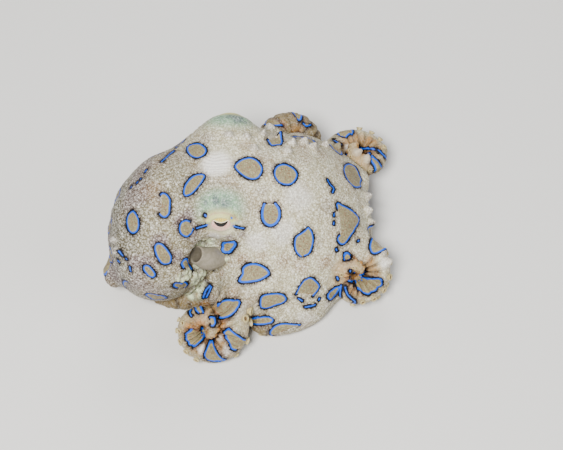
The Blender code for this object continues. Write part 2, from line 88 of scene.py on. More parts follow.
# How softly the forms run into one another
TIP_BLEND = 1.8
HEAD_BLEND = 4.0
BULGE_BLEND = 3.0
DOME_BLEND = 5.0
CROWN_BLEND = 6.0
FOLD_BLEND = 3.5
NECK_BLEND = 2.5
SHOULDER_BLEND = 3.0
PIT_BLEND = 1.8
HOLLOW_BLEND = 0.8

# Eyes
EYE_RADIUS = 2.7
EYE_RIGHT = np.array((-4.7, -5.15, 20.6))
EYE_LEFT = np.array((-3.6, 12.85, 21.0))
GAZE_RIGHT = np.array((0.0, -0.94, 0.34))
GAZE_LEFT = np.array((0.0, 0.94, 0.34))
SLIT_HALF_WIDTH = 1.85
SLIT_HALF_HEIGHT = 1.4
SLIT_LOWER = -0.3
SLIT_DEPTH = 1.6
SLIT_BLEND = 0.35
LID_RADIUS = 0.26
LID_BLEND = 0.3
LID_POINTS = 14

# Funnel
FUNNEL_PATH = ((-1.0, -3.0, 8.0), (-4.4, -6.6, 11.0), (-6.9, -8.9, 13.2), (-8.9, -9.6, 15.3))
FUNNEL_ROOT_RADIUS = 2.6
FUNNEL_END_RADIUS = 1.6
FUNNEL_BORE_DEPTH = 2.6

# Arms
ARM_RADIUS = 2.8
ARM_TIP_RADIUS = 0.45
ARM_STEP = 0.6
ARM_TAPER = 0.52
COIL_CLOSING = 2.2
COIL_RISING = 1.6
SPIRAL_POINTS = 180
BEND_POINTS = 60
ROUTE_POINTS = 24
SHOULDER_SHARE = 0.62
ARM_ROOT_BLEND = 2.4
ARM_FREE_BLEND = 0.35
ARM_BLEND_LENGTH = 5.0
DOWN_TURN = 3.0

# Each coiled arm: root in the dome, heading there, coil centre, direction that the coil faces,
# angle at which the arm joins the coil, its turn, the coil's first and last radius, how far the
# tip rises out of the coil's plane, and the length over which the arm tapers
COILED_ARMS = {
    "arm_r1": dict(root=(10.0, -3.0, 9.0), heading=(1.0, -0.2, 0.0), coil=(18.1, -6.8, 5.8),
                   face=(0.12, -0.66, 0.74), start=85, turn=-390, outer=4.1, inner=0.9, rise=4.8,
                   taper=25.0),
    "arm_r3": dict(root=(0.2, -8.0, 6.8), heading=(-0.2, -1.0, 0.1), coil=(-6.8, -17.7, 5.4),
                   face=(-0.2, -0.72, 0.66), start=28, turn=-390, outer=4.1, inner=0.9, rise=4.8,
                   taper=25.0),
    "arm_l1": dict(root=(9.0, 8.0, 7.0), heading=(0.6, 0.8, 0.0), coil=(19.2, 18.0, 5.2),
                   face=(0.15, 0.0, 0.98), start=110, turn=-390, outer=4.2, inner=0.9, rise=4.8,
                   taper=25.0),
    "arm_l3": dict(root=(-1.0, 9.5, 7.0), heading=(-0.2, 1.0, -0.1), coil=(-6.8, 19.0, 5.2),
                   face=(-0.25, 0.7, 0.66), start=130, turn=390, outer=4.1, inner=0.9, rise=4.8,
                   taper=25.0),
}

# Each arm that lies in loose bends: its route from the dome to the tip, where its suckers face,
# and its taper
LYING_ARMS = {
    "arm_l2": dict(route=((6.0, 9.5, 8.5), (3.4, 15.5, 10.9), (4.4, 20.2, 11.4), (8.0, 21.9, 10.8),
                          (10.6, 21.2, 8.2), (10.0, 21.3, 4.9), (7.2, 22.0, 2.7), (4.2, 22.3, 1.7)),
                   face=(0.0, 0.8, -0.6), taper=25.0),
    "arm_r2": dict(route=((10.0, -4.0, 5.0), (11.2, -9.0, 3.8), (8.8, -12.9, 3.2), (5.2, -15.2, 3.0),
                          (2.0, -15.2, 2.4), (0.4, -12.6, 1.8)), face=(0.0, 0.0, -1.0), taper=9.0),
    "arm_r4": dict(route=((-1.0, -5.0, 5.6), (-4.8, -8.2, 4.2), (-8.6, -9.4, 2.9),
                          (-12.6, -9.8, 2.1), (-16.4, -8.6, 1.4), (-18.0, -6.2, 0.9)),
                   face=(0.0, 0.0, -1.0), taper=17.0),
    "arm_l4": dict(route=((-2.0, 5.0, 5.0), (-6.0, 8.6, 3.8), (-9.8, 10.2, 2.8),
                          (-13.6, 9.2, 2.1), (-16.8, 6.6, 1.4), (-18.2, 3.8, 0.9)),
                   face=(0.0, 0.0, -1.0), taper=17.0),
}

# The skin that closes the middle of each coil: how far it lies behind the arm's plane, how wide
# it is, and how thick
CORE_DEPTH = 0.9
CORE_RADIUS = 3.1
CORE_THICKNESS = 1.0
CORE_BLEND = 1.4

# The skin's mesh
GRID_STEP = 0.33
GRID_COARSER = 2
GRID_NEAR = 1.0
GRID_LOW = np.array((-27.5, -25.0, -0.5))
GRID_HIGH = np.array((26.0, 29.0, 27.0))
PROBE = 0.02


def unit(vector):
    vector = np.asarray(vector, dtype=float)
    return vector / max(np.linalg.norm(vector), SMALL)


def unit_rows(vectors):
    return vectors / np.maximum(np.linalg.norm(vectors, axis=-1, keepdims=True), SMALL)


def place(points):
    """Millimetres in the animal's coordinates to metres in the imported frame."""
    return (np.asarray(points, dtype=float) + STAND) * MM


def smoothstep(low, high, value):
    share = np.clip((value - low) / (high - low), 0.0, 1.0)
    return share * share * (3.0 - 2.0 * share)


def turn_matrix(degrees):
    rx, ry, rz = (math.radians(angle) for angle in degrees)
    turn = Matrix.Rotation(rz, 3, "Z") @ Matrix.Rotation(ry, 3, "Y") @ Matrix.Rotation(rx, 3, "X")
    return np.array(turn)


def ellipsoid(points, form):
    """Roughly the distance from the points to a turned ellipsoid, negative inside."""
    center, radii, turn = form
    local = (points - np.array(center)) @ turn_matrix(turn)
    radii = np.array(radii)
    near = np.linalg.norm(local / radii, axis=-1)
    slope = np.linalg.norm(local / radii**2, axis=-1)
    return near * (near - 1.0) / np.maximum(slope, SMALL)


def capsule(points, start, end, radius, end_radius=None):
    """Distance to a round-ended rod, which may taper."""
    start = np.asarray(start, dtype=float)
    along = np.asarray(end, dtype=float) - start
    share = np.clip((points - start) @ along / max(along @ along, SMALL), 0.0, 1.0)
    reach = np.linalg.norm(points - start - share[..., None] * along, axis=-1)
    if end_radius is None:
        return reach - radius
    return reach - (radius + (end_radius - radius) * share)


def blend(first, second, softness):
    """Smooth minimum of two distances."""
    share = np.maximum(softness - np.abs(first - second), 0.0) / softness
    return np.minimum(first, second) - share * share * softness * 0.25


def side_frame(tangent, up):
    """Two directions square to the tangent, the second nearest to up."""
    up = up - tangent * np.dot(up, tangent)
    up = unit(up)
    return np.cross(tangent, up), up


def even_points(points, step):
    lengths = np.concatenate([[0], np.cumsum(np.linalg.norm(np.diff(points, axis=0), axis=1))])
    count = max(int(round(lengths[-1] / step)), 2)
    places = np.linspace(0, lengths[-1], count + 1)
    return np.stack([np.interp(places, lengths, points[:, axis]) for axis in range(3)], axis=1)


def smooth_route(route, step):
    """Points a step apart on a smooth curve through the route's own points."""
    route = np.asarray(route, dtype=float)
    padded = np.vstack([2 * route[0] - route[1], route, 2 * route[-1] - route[-2]])
    fine = []
    for index in range(len(route) - 1):
        a, b, c, d = padded[index:index + 4]
        for t in np.linspace(0, 1, ROUTE_POINTS, endpoint=False):
            fine.append(0.5 * (2 * b + (c - a) * t + (2 * a - 5 * b + 4 * c - d) * t**2
                               + (3 * b - a - 3 * c + d) * t**3))
    fine.append(route[-1])
    return even_points(np.array(fine), step)


def coil_route(arm):
    """An arm's middle line: out of the dome in a bend, then round its flat spiral."""
    face = unit(arm["face"])
    right = unit(np.cross((0, 0, 1), face))
    up = np.cross(face, right)
    coil = np.array(arm["coil"])
    share = np.linspace(0, 1, SPIRAL_POINTS)[:, None]
    angle = np.radians(arm["start"] + arm["turn"] * share)
    radius = arm["outer"] + (arm["inner"] - arm["outer"]) * share**COIL_CLOSING
    flat = np.cos(angle) * right + np.sin(angle) * up
    spiral = coil + radius * flat + face * arm["rise"] * share**COIL_RISING
    root = np.array(arm["root"])
    reach = np.linalg.norm(spiral[0] - root)
    leave = unit(arm["heading"]) * reach
    arrive = unit(spiral[1] - spiral[0]) * reach
    bend = []
    for t in np.linspace(0, 1, BEND_POINTS, endpoint=False):
        bend.append((2 * t**3 - 3 * t**2 + 1) * root + (t**3 - 2 * t**2 + t) * leave
                    + (3 * t**2 - 2 * t**3) * spiral[0] + (t**3 - t**2) * arrive)
    points = even_points(np.vstack([bend, spiral]), ARM_STEP)
    start = int(np.argmin(np.linalg.norm(points - spiral[0], axis=1)))
    return points, turn_down(points, points - coil, start)


def turn_down(points, orals, start):
    """Turn the suckers' direction from the coil's outer side to the floor, back along the arm."""
    tangents = np.gradient(points, axis=0)
    for index in range(start - 1, -1, -1):
        down = min((start - index) * ARM_STEP / DOWN_TURN, 1.0) * 0.25
        wanted = unit(orals[index + 1]) * (1.0 - down) + np.array((0.0, 0.0, -1.0)) * down
        _, orals[index] = side_frame(unit(tangents[index]), wanted)
    return orals


def arm_radii(count, taper):
    """An even radius near the root, and a long taper out to the tip."""
    from_tip = np.arange(count)[::-1] * ARM_STEP
    share = np.minimum(from_tip / taper, 1.0)
    return ARM_TIP_RADIUS + (ARM_RADIUS - ARM_TIP_RADIUS) * share**ARM_TAPER


class Arm:
    """An arm's middle line with its radii, and the direction of its suckers at each point."""

    def __init__(self, points, orals, taper, coil=None):
        self.points = points
        self.coil = coil
        self.radii = arm_radii(len(points), taper)
        self.tangents = unit_rows(np.gradient(points, axis=0))
        square = orals - self.tangents * np.sum(orals * self.tangents, axis=1, keepdims=True)
        self.orals = unit_rows(square)
        self.places = np.arange(len(points)) * ARM_STEP
        self.low = (points - self.radii[:, None]).min(axis=0)
        self.high = (points + self.radii[:, None]).max(axis=0)
        self.free = 0.0

    def near(self, points, margin):
        return np.all((points > self.low - margin) & (points < self.high + margin), axis=1)

    def measure(self, points):
        """Each point's distance to the skin, and its place along the middle line."""
        best = np.full(len(points), 1e3)
        place_along = np.zeros(len(points))
        for index in range(len(self.points) - 1):
            start = self.points[index]
            along = self.points[index + 1] - start
            share = np.clip((points - start) @ along / (along @ along), 0.0, 1.0)
            reach = np.linalg.norm(points - start - share[:, None] * along, axis=1)
            radius = self.radii[index] + (self.radii[index + 1] - self.radii[index]) * share
            better = reach - radius < best
            best = np.where(better, reach - radius, best)
            place_along = np.where(better, (index + share) * ARM_STEP, place_along)
        return best, place_along

    def core(self, points):
        """Distance to the skin in the middle of the coil, and from the coil's axis."""
        middle, face = self.coil
        away = points - middle + face * CORE_DEPTH
        along = away @ face
        beside = np.sqrt(np.maximum(np.sum(away * away, axis=1) - along**2, 0.0))
        near = np.hypot(beside / CORE_RADIUS, along / CORE_THICKNESS)
        slope = np.hypot(beside / CORE_RADIUS**2, along / CORE_THICKNESS**2)
        return near * (near - 1.0) / np.maximum(slope, SMALL), beside

    def at(self, place_along):
        """Middle point, radius, oral direction and tangent at places along the arm."""
        here = [np.interp(place_along, self.places, self.points[:, axis]) for axis in range(3)]
        oral = [np.interp(place_along, self.places, self.orals[:, axis]) for axis in range(3)]
        ahead = [np.interp(place_along, self.places, self.tangents[:, axis]) for axis in range(3)]
        radius = np.interp(place_along, self.places, self.radii)
        return (np.stack(here, axis=-1), radius, unit_rows(np.stack(oral, axis=-1)),
                unit_rows(np.stack(ahead, axis=-1)))


def make_arms():
    made = []
    for arm in COILED_ARMS.values():
        points, orals = coil_route(arm)
        made.append(Arm(points, orals, arm["taper"], (np.array(arm["coil"]), unit(arm["face"]))))
    for arm in LYING_ARMS.values():
        points = smooth_route(arm["route"], ARM_STEP)
        orals = np.tile(arm["face"], (len(points), 1))
        made.append(Arm(points, orals, arm["taper"]))
    return made


def bare_body(points, shoulders=()):
    """The body without its arms, pits and openings."""
    sac = blend(ellipsoid(points, SAC), ellipsoid(points, SAC_TIP), TIP_BLEND)
    head = blend(ellipsoid(points, CRANIUM), ellipsoid(points, BROW), HEAD_BLEND)
    head = blend(head, ellipsoid(points, BULGE_RIGHT), BULGE_BLEND)
    head = blend(head, ellipsoid(points, BULGE_LEFT), BULGE_BLEND)
    dome = blend(ellipsoid(points, DOME), ellipsoid(points, DOME_NEAR), DOME_BLEND)
    dome = blend(dome, capsule(points, *FOLD), FOLD_BLEND)
    for start, end in shoulders:
        dome = blend(dome, capsule(points, start, end, ARM_RADIUS), SHOULDER_BLEND)
    body = blend(sac, blend(head, dome, CROWN_BLEND), NECK_BLEND)
    return -blend(-body, ellipsoid(points, PIT), PIT_BLEND)


ARMS = make_arms()
for arm in ARMS:
    outside = bare_body(arm.points) > 0
    arm.free = float(arm.places[int(np.argmax(outside))])
SHOULDERS = [(arm.points[0], arm.points[max(int(arm.free * SHOULDER_SHARE / ARM_STEP), 1)])
             for arm in ARMS]


def lid_route(center, gaze, direction):
    """The middle line of one lid's rim."""
    gaze = unit(gaze)
    across, up = side_frame(gaze, np.array((0.0, 0.0, 1.0)))
    angle = np.linspace(0, math.pi, LID_POINTS)[:, None]
    height = SLIT_HALF_HEIGHT if direction > 0 else SLIT_HALF_HEIGHT + SLIT_LOWER
    reach = across * SLIT_HALF_WIDTH * np.cos(angle) + up * direction * height * np.sin(angle)
    depth = np.sqrt(EYE_RADIUS**2 - np.sum(reach * reach, axis=1, keepdims=True))
    return center + reach + gaze * depth


def eye_forms(points, body):
    """Open the skin over each eyeball, and round a lid along the opening's rim."""
    for center, gaze in ((EYE_RIGHT, GAZE_RIGHT), (EYE_LEFT, GAZE_LEFT)):
        near = np.linalg.norm(points - center, axis=1) < EYE_RADIUS * 2.2
        if not near.any():
            continue
        local = points[near]
        skin = body[near]
        across, up = side_frame(unit(gaze), np.array((0.0, 0.0, 1.0)))
        turned = (local - center - unit(gaze) * EYE_RADIUS) @ np.stack((across, up, unit(gaze)), axis=1)
        below = turned[:, 1] < 0
        turned[below, 1] *= SLIT_HALF_HEIGHT / (SLIT_HALF_HEIGHT + SLIT_LOWER)
        opening = ellipsoid(turned, ((0, 0, 0), (SLIT_HALF_WIDTH, SLIT_HALF_HEIGHT, SLIT_DEPTH), (0, 0, 0)))
        skin = -blend(-skin, opening, SLIT_BLEND)
        for direction in (1, -1):
            rim = lid_route(center, gaze, direction)
            for start, end in zip(rim[:-1], rim[1:]):
                skin = blend(skin, capsule(local, start, end, LID_RADIUS), LID_BLEND)
        body[near] = skin
    return body


def skin_distance(points, margin=3.0):
    """The whole animal's skin as one smooth form."""
    body = bare_body(points, SHOULDERS)
    body = eye_forms(points, body)
    for arm in ARMS:
        near = arm.near(points, margin)
        if not near.any():
            continue
        reach, place_along = arm.measure(points[near])
        past = np.clip((place_along - arm.free) / ARM_BLEND_LENGTH, 0.0, 1.0)
        softness = ARM_ROOT_BLEND + (ARM_FREE_BLEND - ARM_ROOT_BLEND) * past
        body[near] = blend(body[near], reach, softness)
        if arm.coil:
            body[near] = blend(body[near], arm.core(points[near])[0], CORE_BLEND)
    body = -blend(-body, ellipsoid(points, HOLLOW), HOLLOW_BLEND)
    return np.maximum(body, -points[:, 2])


def slopes(distance, points):
    """The distance function's unit gradient at each point."""
    sides = []
    for axis in range(3):
        shift = np.zeros(3)
        shift[axis] = PROBE
        sides.append(distance(points + shift) - distance(points - shift))
    return unit_rows(np.stack(sides, axis=1))


def surface_net(field, low, step):
    """Four-sided faces round the grid edges that the surface crosses, one corner in each cell."""
    inside = field < 0
    cells = tuple(size - 1 for size in field.shape)
    corners = [tuple(slice(shift, shift + size) for shift, size in zip(corner, cells))
               for corner in np.ndindex(2, 2, 2)]
    count = sum(inside[corner].astype(np.int8) for corner in corners)
    crossed = (count > 0) & (count < 8)
    index = np.full(cells, -1, dtype=np.int64)
    index[crossed] = np.arange(crossed.sum())
    cell = np.argwhere(crossed)
    total = np.zeros((len(cell), 3))
    found = np.zeros(len(cell))
    for first in np.ndindex(2, 2, 2):
        for axis in range(3):
            if first[axis]:
                continue
            second = np.array(first)
            second[axis] = 1
            value = field[tuple((cell + first).T)]
            other = field[tuple((cell + second).T)]
            cut = (value < 0) != (other < 0)
            share = np.where(cut, value / np.where(cut, value - other, 1.0), 0.0)
            spot = np.array(first) + share[:, None] * (second - np.array(first))
            total += cut[:, None] * spot
            found += cut
    vertices = low + step * (cell + total / found[:, None])
    faces = []
    for axis in range(3):
        one = np.roll((1, 0, 0), axis)
        two = np.roll((0, 1, 0), axis)
        three = np.roll((0, 0, 1), axis)
        here = inside[tuple(slice(0, -1) if a == axis else slice(None) for a in range(3))]
        there = inside[tuple(slice(1, None) if a == axis else slice(None) for a in range(3))]
        spot = np.argwhere(here != there)
        kept = np.all((spot - two - three >= 0) & (spot < np.array(cells)), axis=1)
        spot = spot[kept]
        around = [spot - two - three, spot - three, spot, spot - two]
        quad = np.stack([index[tuple(place_.T)] for place_ in around], axis=1)
        flip = ~here[tuple(spot.T)]
        quad[flip] = quad[flip][:, ::-1]
        faces.append(quad)
    return vertices, np.concatenate(faces)


def new_object(name, vertices, faces, smooth=True):
    mesh = bpy.data.meshes.new(name)
    mesh.vertices.add(len(vertices))
    mesh.vertices.foreach_set("co", np.asarray(vertices, dtype=np.float32).ravel())
    faces = np.asarray(faces)
    mesh.loops.add(faces.size)
    mesh.loops.foreach_set("vertex_index", faces.ravel())
    mesh.polygons.add(len(faces))
    mesh.polygons.foreach_set("loop_start", np.arange(len(faces)) * faces.shape[1])
    mesh.update(calc_edges=True)
    if smooth:
        mesh.shade_smooth()
    item = bpy.data.objects.new(name, mesh)
    bpy.context.scene.collection.objects.link(item)
    return item


def pull_to_skin(points, directions):
    """Move points on to the skin along given directions that point out of it."""
    reach = np.clip(skin_distance(points), -GRID_STEP, GRID_STEP)
    points = points - directions * reach[:, None]
    points[:, 2] = np.maximum(points[:, 2], 0.0)
    return points


def grid_points(counts, step):
    axes = [GRID_LOW[axis] + step * np.arange(counts[axis]) for axis in range(3)]
    return np.stack(np.meshgrid(*axes, indexing="ij"), axis=-1)


def base_skin():
    """The skin's first faces, measured finely only where a coarser grid says that it is near."""
    wide = GRID_STEP * GRID_COARSER
    counts = np.ceil((GRID_HIGH - GRID_LOW) / wide).astype(int) + 1
    coarse = skin_distance(grid_points(counts, wide).reshape(-1, 3)).reshape(tuple(counts))
    counts = (counts - 1) * GRID_COARSER + 1
    nearest = [np.round(np.arange(size) / GRID_COARSER).astype(int) for size in counts]
    field = coarse[np.ix_(*nearest)]
    close = np.abs(field) < GRID_NEAR
    field[close] = skin_distance(grid_points(counts, GRID_STEP)[close])
    vertices, faces = surface_net(field, GRID_LOW, GRID_STEP)
    return pull_to_skin(vertices, slopes(skin_distance, vertices)), faces


# Fine relief of the skin
GRAIN_SIZE = 0.5
GRAIN_HEIGHT = 0.075
WART_SIZE = 0.95
WART_HEIGHT = 0.5
WAVE_SIZE = 3.4
WAVE_HEIGHT = 0.16
TIP_WRINKLE = 0.28
PLEATS = 18
PLEAT_LENGTH = 1.6
PLEAT_HEIGHT = 0.85
STRETCH_PLACE = (217, 163)
STRETCH_REACH = 3.6
STRETCH_LENGTH = 0.52
STRETCH_HEIGHT = 0.05
WRINKLE_LENGTH = 0.75
WRINKLE_HEIGHT = 0.05
PAPILLA_HEIGHT = 1.3
PAPILLA_RADIUS = 0.72

# Bead-like warts round the funnel: pixel and reach in millimetres
WARTS = ((203, 241, 2.6), (199, 274, 2.6), (196, 288, 2.4), (223, 254, 1.6), (184, 276, 1.8))

# White papillae along the crown and the far edge of the web, as pixels
PAPILLAE = ((262, 136), (270, 129), (280, 138), (291, 145), (303, 144), (312, 149), (324, 147),
            (336, 149), (346, 149), (357, 153), (366, 160), (374, 166), (246, 138), (229, 136),
            (365, 197), (366, 211), (369, 223), (381, 252), (386, 262), (118, 250), (116, 240),
            (254, 150), (287, 152))


def lattice(cells, seed):
    """A repeatable number from 0 to 1 for each whole-numbered cell."""
    mixed = (cells[..., 0] * 73856093) ^ (cells[..., 1] * 19349663) ^ (cells[..., 2] * 83492791)
    mixed = (mixed ^ (seed * 40503)) & 0x7FFFFFFF
    mixed = ((mixed ^ (mixed >> 15)) * 2246822519) & 0x7FFFFFFF
    mixed = ((mixed ^ (mixed >> 13)) * 3266489917) & 0x7FFFFFFF
    mixed = mixed ^ (mixed >> 16)
    return (mixed & 0xFFFFF) / float(0xFFFFF)


def noise(points, size, seed):
    """Smooth noise from -1 to 1, whose lumps are about size across."""
    scaled = np.asarray(points) / size
    cell = np.floor(scaled).astype(np.int64)
    part = scaled - cell
    part = part * part * (3.0 - 2.0 * part)
    total = np.zeros(len(scaled))
    for corner in np.ndindex(2, 2, 2):
        weight = np.prod(np.where(corner, part, 1.0 - part), axis=-1)
        total += weight * lattice(cell + np.array(corner), seed)
    return total * 2.0 - 1.0


def pebbles(points, size, seed):
    """Rounded grains set close: 1 at the top of each, down to 0 between them."""
    scaled = points / size
    cell = np.floor(scaled).astype(np.int64)
    nearest = np.full(len(points), 9.0)
    for corner in np.ndindex(3, 3, 3):
        here = cell + np.array(corner) - 1
        spot = here + np.stack([lattice(here, seed + axis) for axis in range(3)], axis=1)
        nearest = np.minimum(nearest, np.sum((scaled - spot)**2, axis=1))
    return np.clip(1.0 - nearest / 0.5, 0.0, 1.0)


def project(points):
    """Pixels of the photograph at which points are seen."""
    away = points - CAMERA_PLACE
    depth = -(away @ CAMERA_BACK)
    u = PHOTO_WIDTH / 2 + FOCAL * (away @ CAMERA_RIGHT) / depth
    v = PHOTO_HEIGHT / 2 - FOCAL * (away @ CAMERA_UP) / depth
    return np.stack((u, v), axis=-1)


def sight_lines(pixels):
    pixels = np.asarray(pixels, dtype=float)
    u = (pixels[:, 0] - PHOTO_WIDTH / 2) / FOCAL
    v = (pixels[:, 1] - PHOTO_HEIGHT / 2) / FOCAL
    return unit_rows(u[:, None] * CAMERA_RIGHT - v[:, None] * CAMERA_UP - CAMERA_BACK)


FAR_FROM_HEART = 20.0
SIGHT_START = 235.0
SIGHT_END = 310.0
SIGHT_STEPS = 110
SIGHT_SHARE = 0.7


def seen_points(pixels):
    """Where the photograph's sight lines through some pixels meet the skin, and its direction there."""
    lines = sight_lines(pixels)
    depth = np.full(len(lines), SIGHT_START)
    for _ in range(SIGHT_STEPS):
        reach = skin_distance(CAMERA_PLACE + lines * depth[:, None])
        depth = np.minimum(depth + reach * SIGHT_SHARE, SIGHT_END)
    spots = CAMERA_PLACE + lines * depth[:, None]
    return spots, slopes(skin_distance, spots), depth < SIGHT_END - 1.0


def arm_table(points, reach=1.6):
    """How far each point is on a free arm, on its sucker side, on a pleat, and near a coil's heart."""
    best = np.full(len(points), reach)
    table = {"free": np.zeros(len(points)), "facing": np.zeros(len(points)),
             "pleat": np.ones(len(points)), "heart": np.full(len(points), FAR_FROM_HEART)}
    wander = noise(points, 2.2, 51)
    for arm in ARMS:
        near = np.nonzero(arm.near(points, reach))[0]
        local = points[near]
        distance, spot = arm.measure(local)
        middle, _, oral, _ = arm.at(spot)
        facing = np.sum(unit_rows(local - middle) * oral, axis=1)
        free = smoothstep(arm.free - 1.0, arm.free + 3.0, spot)
        phase = spot * 2.0 * math.pi / PLEAT_LENGTH
        heart = np.full(len(near), FAR_FROM_HEART)
        if arm.coil:
            core, heart = arm.core(local)
            facing = np.where(core < distance, -1.0, facing)
            free = np.where(core < distance, 1.0, free)
            distance = np.minimum(distance, core)
            right, up = side_frame(arm.coil[1], np.array((0.0, 0.0, 1.0)))
            away = local - arm.coil[0]
            phase = PLEATS * np.arctan2(away @ up, away @ right)
        better = distance < best[near]
        chosen = near[better]
        best[chosen] = distance[better]
        table["free"][chosen] = free[better]
        table["facing"][chosen] = facing[better]
        table["heart"][chosen] = heart[better]
        table["pleat"][chosen] = np.abs(np.sin(phase[better] / 2.0 + 1.1 * wander[chosen]))
    return table


def seen_groups(groups):
    """Where the sight lines through several groups of pixels meet the skin, for each group."""
    found = seen_points(np.concatenate([np.array(group, dtype=float)[:, :2] for group in groups]))
    ends = np.cumsum([len(group) for group in groups])[:-1]
    return list(zip(*(np.split(part, ends) for part in found)))


def nearest_reach(points, spots, places):
    """How far each point is from the nearest of some places, as a share of their reach."""
    share = np.full(len(points), 9.0)
    for place_, spot in zip(places, spots):
        share = np.minimum(share, np.linalg.norm(points - place_, axis=1) / spot[2])
    return share


def stretch_lines(points, middle):
    """Fine lines of stretched skin in front of the mantle, from -1 to 1, and where they are."""
    reach = np.linalg.norm(points - middle, axis=1) / STRETCH_REACH
    height = points @ CAMERA_UP + 0.3 * noise(points, 2.0, 71)
    share = smoothstep(1.0, 0.4, reach)
    return np.sin(height * 2.0 * math.pi / STRETCH_LENGTH) * share, share


def add_places(table, points, normals):
    """Add to the table what depends on places read from the photograph."""
    groups = [WARTS, [STRETCH_PLACE], PAPILLAE] + [spots for _, spots in PATCHES]
    found = seen_groups(groups)
    table["warty"] = smoothstep(1.1, 0.7, nearest_reach(points, WARTS, found[0][0]))
    table["bead"] = pebbles(points, WART_SIZE, 41)
    table["stretch"], table["taut"] = stretch_lines(points, found[1][0][0])
    table["patches"] = found[3:]
    table["cone"] = np.zeros(len(points))
    for spot, direction in zip(*found[2][:2]):
        away = points - spot
        reach = np.linalg.norm(away, axis=1)
        same_side = normals @ direction > 0.2
        table["cone"] = np.maximum(table["cone"], np.exp(-(reach / PAPILLA_RADIUS)**2) * same_side)


def relief(points, table):
    """How far the skin rises at each point: grains, warts, papillae, pleats and soft waves."""
    free = table["free"]
    rise = GRAIN_HEIGHT * pebbles(points, GRAIN_SIZE, 11)
    rise += GRAIN_HEIGHT * 0.6 * noise(points, 0.9, 21)
    rise += WAVE_HEIGHT * noise(points, WAVE_SIZE, 31) * (1.0 - free)
    rise += STRETCH_HEIGHT * table["stretch"]
    rise += TIP_WRINKLE * noise(points, 1.5, 33) * smoothstep(-19.5, -22.5, points[:, 0])
    rise += table["warty"] * WART_HEIGHT * np.sqrt(table["bead"])
    inner = smoothstep(0.95, 0.3, table["facing"]) * smoothstep(0.8, 2.2, table["heart"])
    coiled = 0.45 + 0.55 * (table["heart"] < FAR_FROM_HEART)
    rise += PLEAT_HEIGHT * free * inner * coiled * (np.sqrt(table["pleat"]) - 0.6)
    rise += PAPILLA_HEIGHT * table["cone"]
    near_eye = np.full(len(points), 9.0)
    for center in (EYE_RIGHT, EYE_LEFT):
        near_eye = np.minimum(near_eye, np.linalg.norm(points - center, axis=1))
    rise *= smoothstep(EYE_RADIUS + 0.1, EYE_RADIUS + 0.9, near_eye)
    wrinkle = np.sin((near_eye + 0.25 * noise(points, 2.4, 72)) * 2.0 * math.pi / WRINKLE_LENGTH)
    rise += WRINKLE_HEIGHT * wrinkle * smoothstep(4.2, 5.2, near_eye) * smoothstep(8.2, 6.5, near_eye)
    return rise * smoothstep(0.0, 0.5, points[:, 2])


def vertex_numbers(mesh, source, kind, width):
    values = np.empty(len(source) * width, dtype=np.float32)
    source.foreach_get(kind, values)
    return values.reshape(-1, width).astype(float)


def add_numbers(mesh, name, values):
    """Store one number for each of a mesh's points."""
    attribute = mesh.attributes.new(name, "FLOAT", "POINT")
    attribute.data.foreach_set("value", np.asarray(values, dtype=np.float32))


def add_colors(mesh, name, values):
    attribute = mesh.attributes.new(name, "FLOAT_COLOR", "POINT")
    full = np.concatenate([values, np.ones((len(values), 1))], axis=1)
    attribute.data.foreach_set("color", full.astype(np.float32).ravel())


def make_skin():
    """One skin over the mantle, head, web and arms, with its relief and its markings."""
    vertices, faces = base_skin()
    skin = new_object("skin", vertices, faces)
    finer = skin.modifiers.new("finer", "SUBSURF")
    finer.levels = 1
    finer.render_levels = 1
    graph = bpy.context.evaluated_depsgraph_get()
    mesh = bpy.data.meshes.new_from_object(skin.evaluated_get(graph))
    skin.modifiers.clear()
    skin.data = mesh
    points = vertex_numbers(mesh, mesh.vertices, "co", 3)
    normals = vertex_numbers(mesh, mesh.vertex_normals, "vector", 3)
    points = pull_to_skin(points, normals)
    mesh.vertices.foreach_set("co", points.astype(np.float32).ravel())
    mesh.update()
    normals = vertex_numbers(mesh, mesh.vertex_normals, "vector", 3)
    table = arm_table(points)
    add_places(table, points, normals)
    mark_skin(mesh, points, normals, table)
    raised = points + normals * relief(points, table)[:, None]
    raised[:, 2] = np.maximum(raised[:, 2], 0.0)
    mesh.vertices.foreach_set("co", place(raised).astype(np.float32).ravel())
    mesh.shade_smooth()
    mesh.update()
    return skin


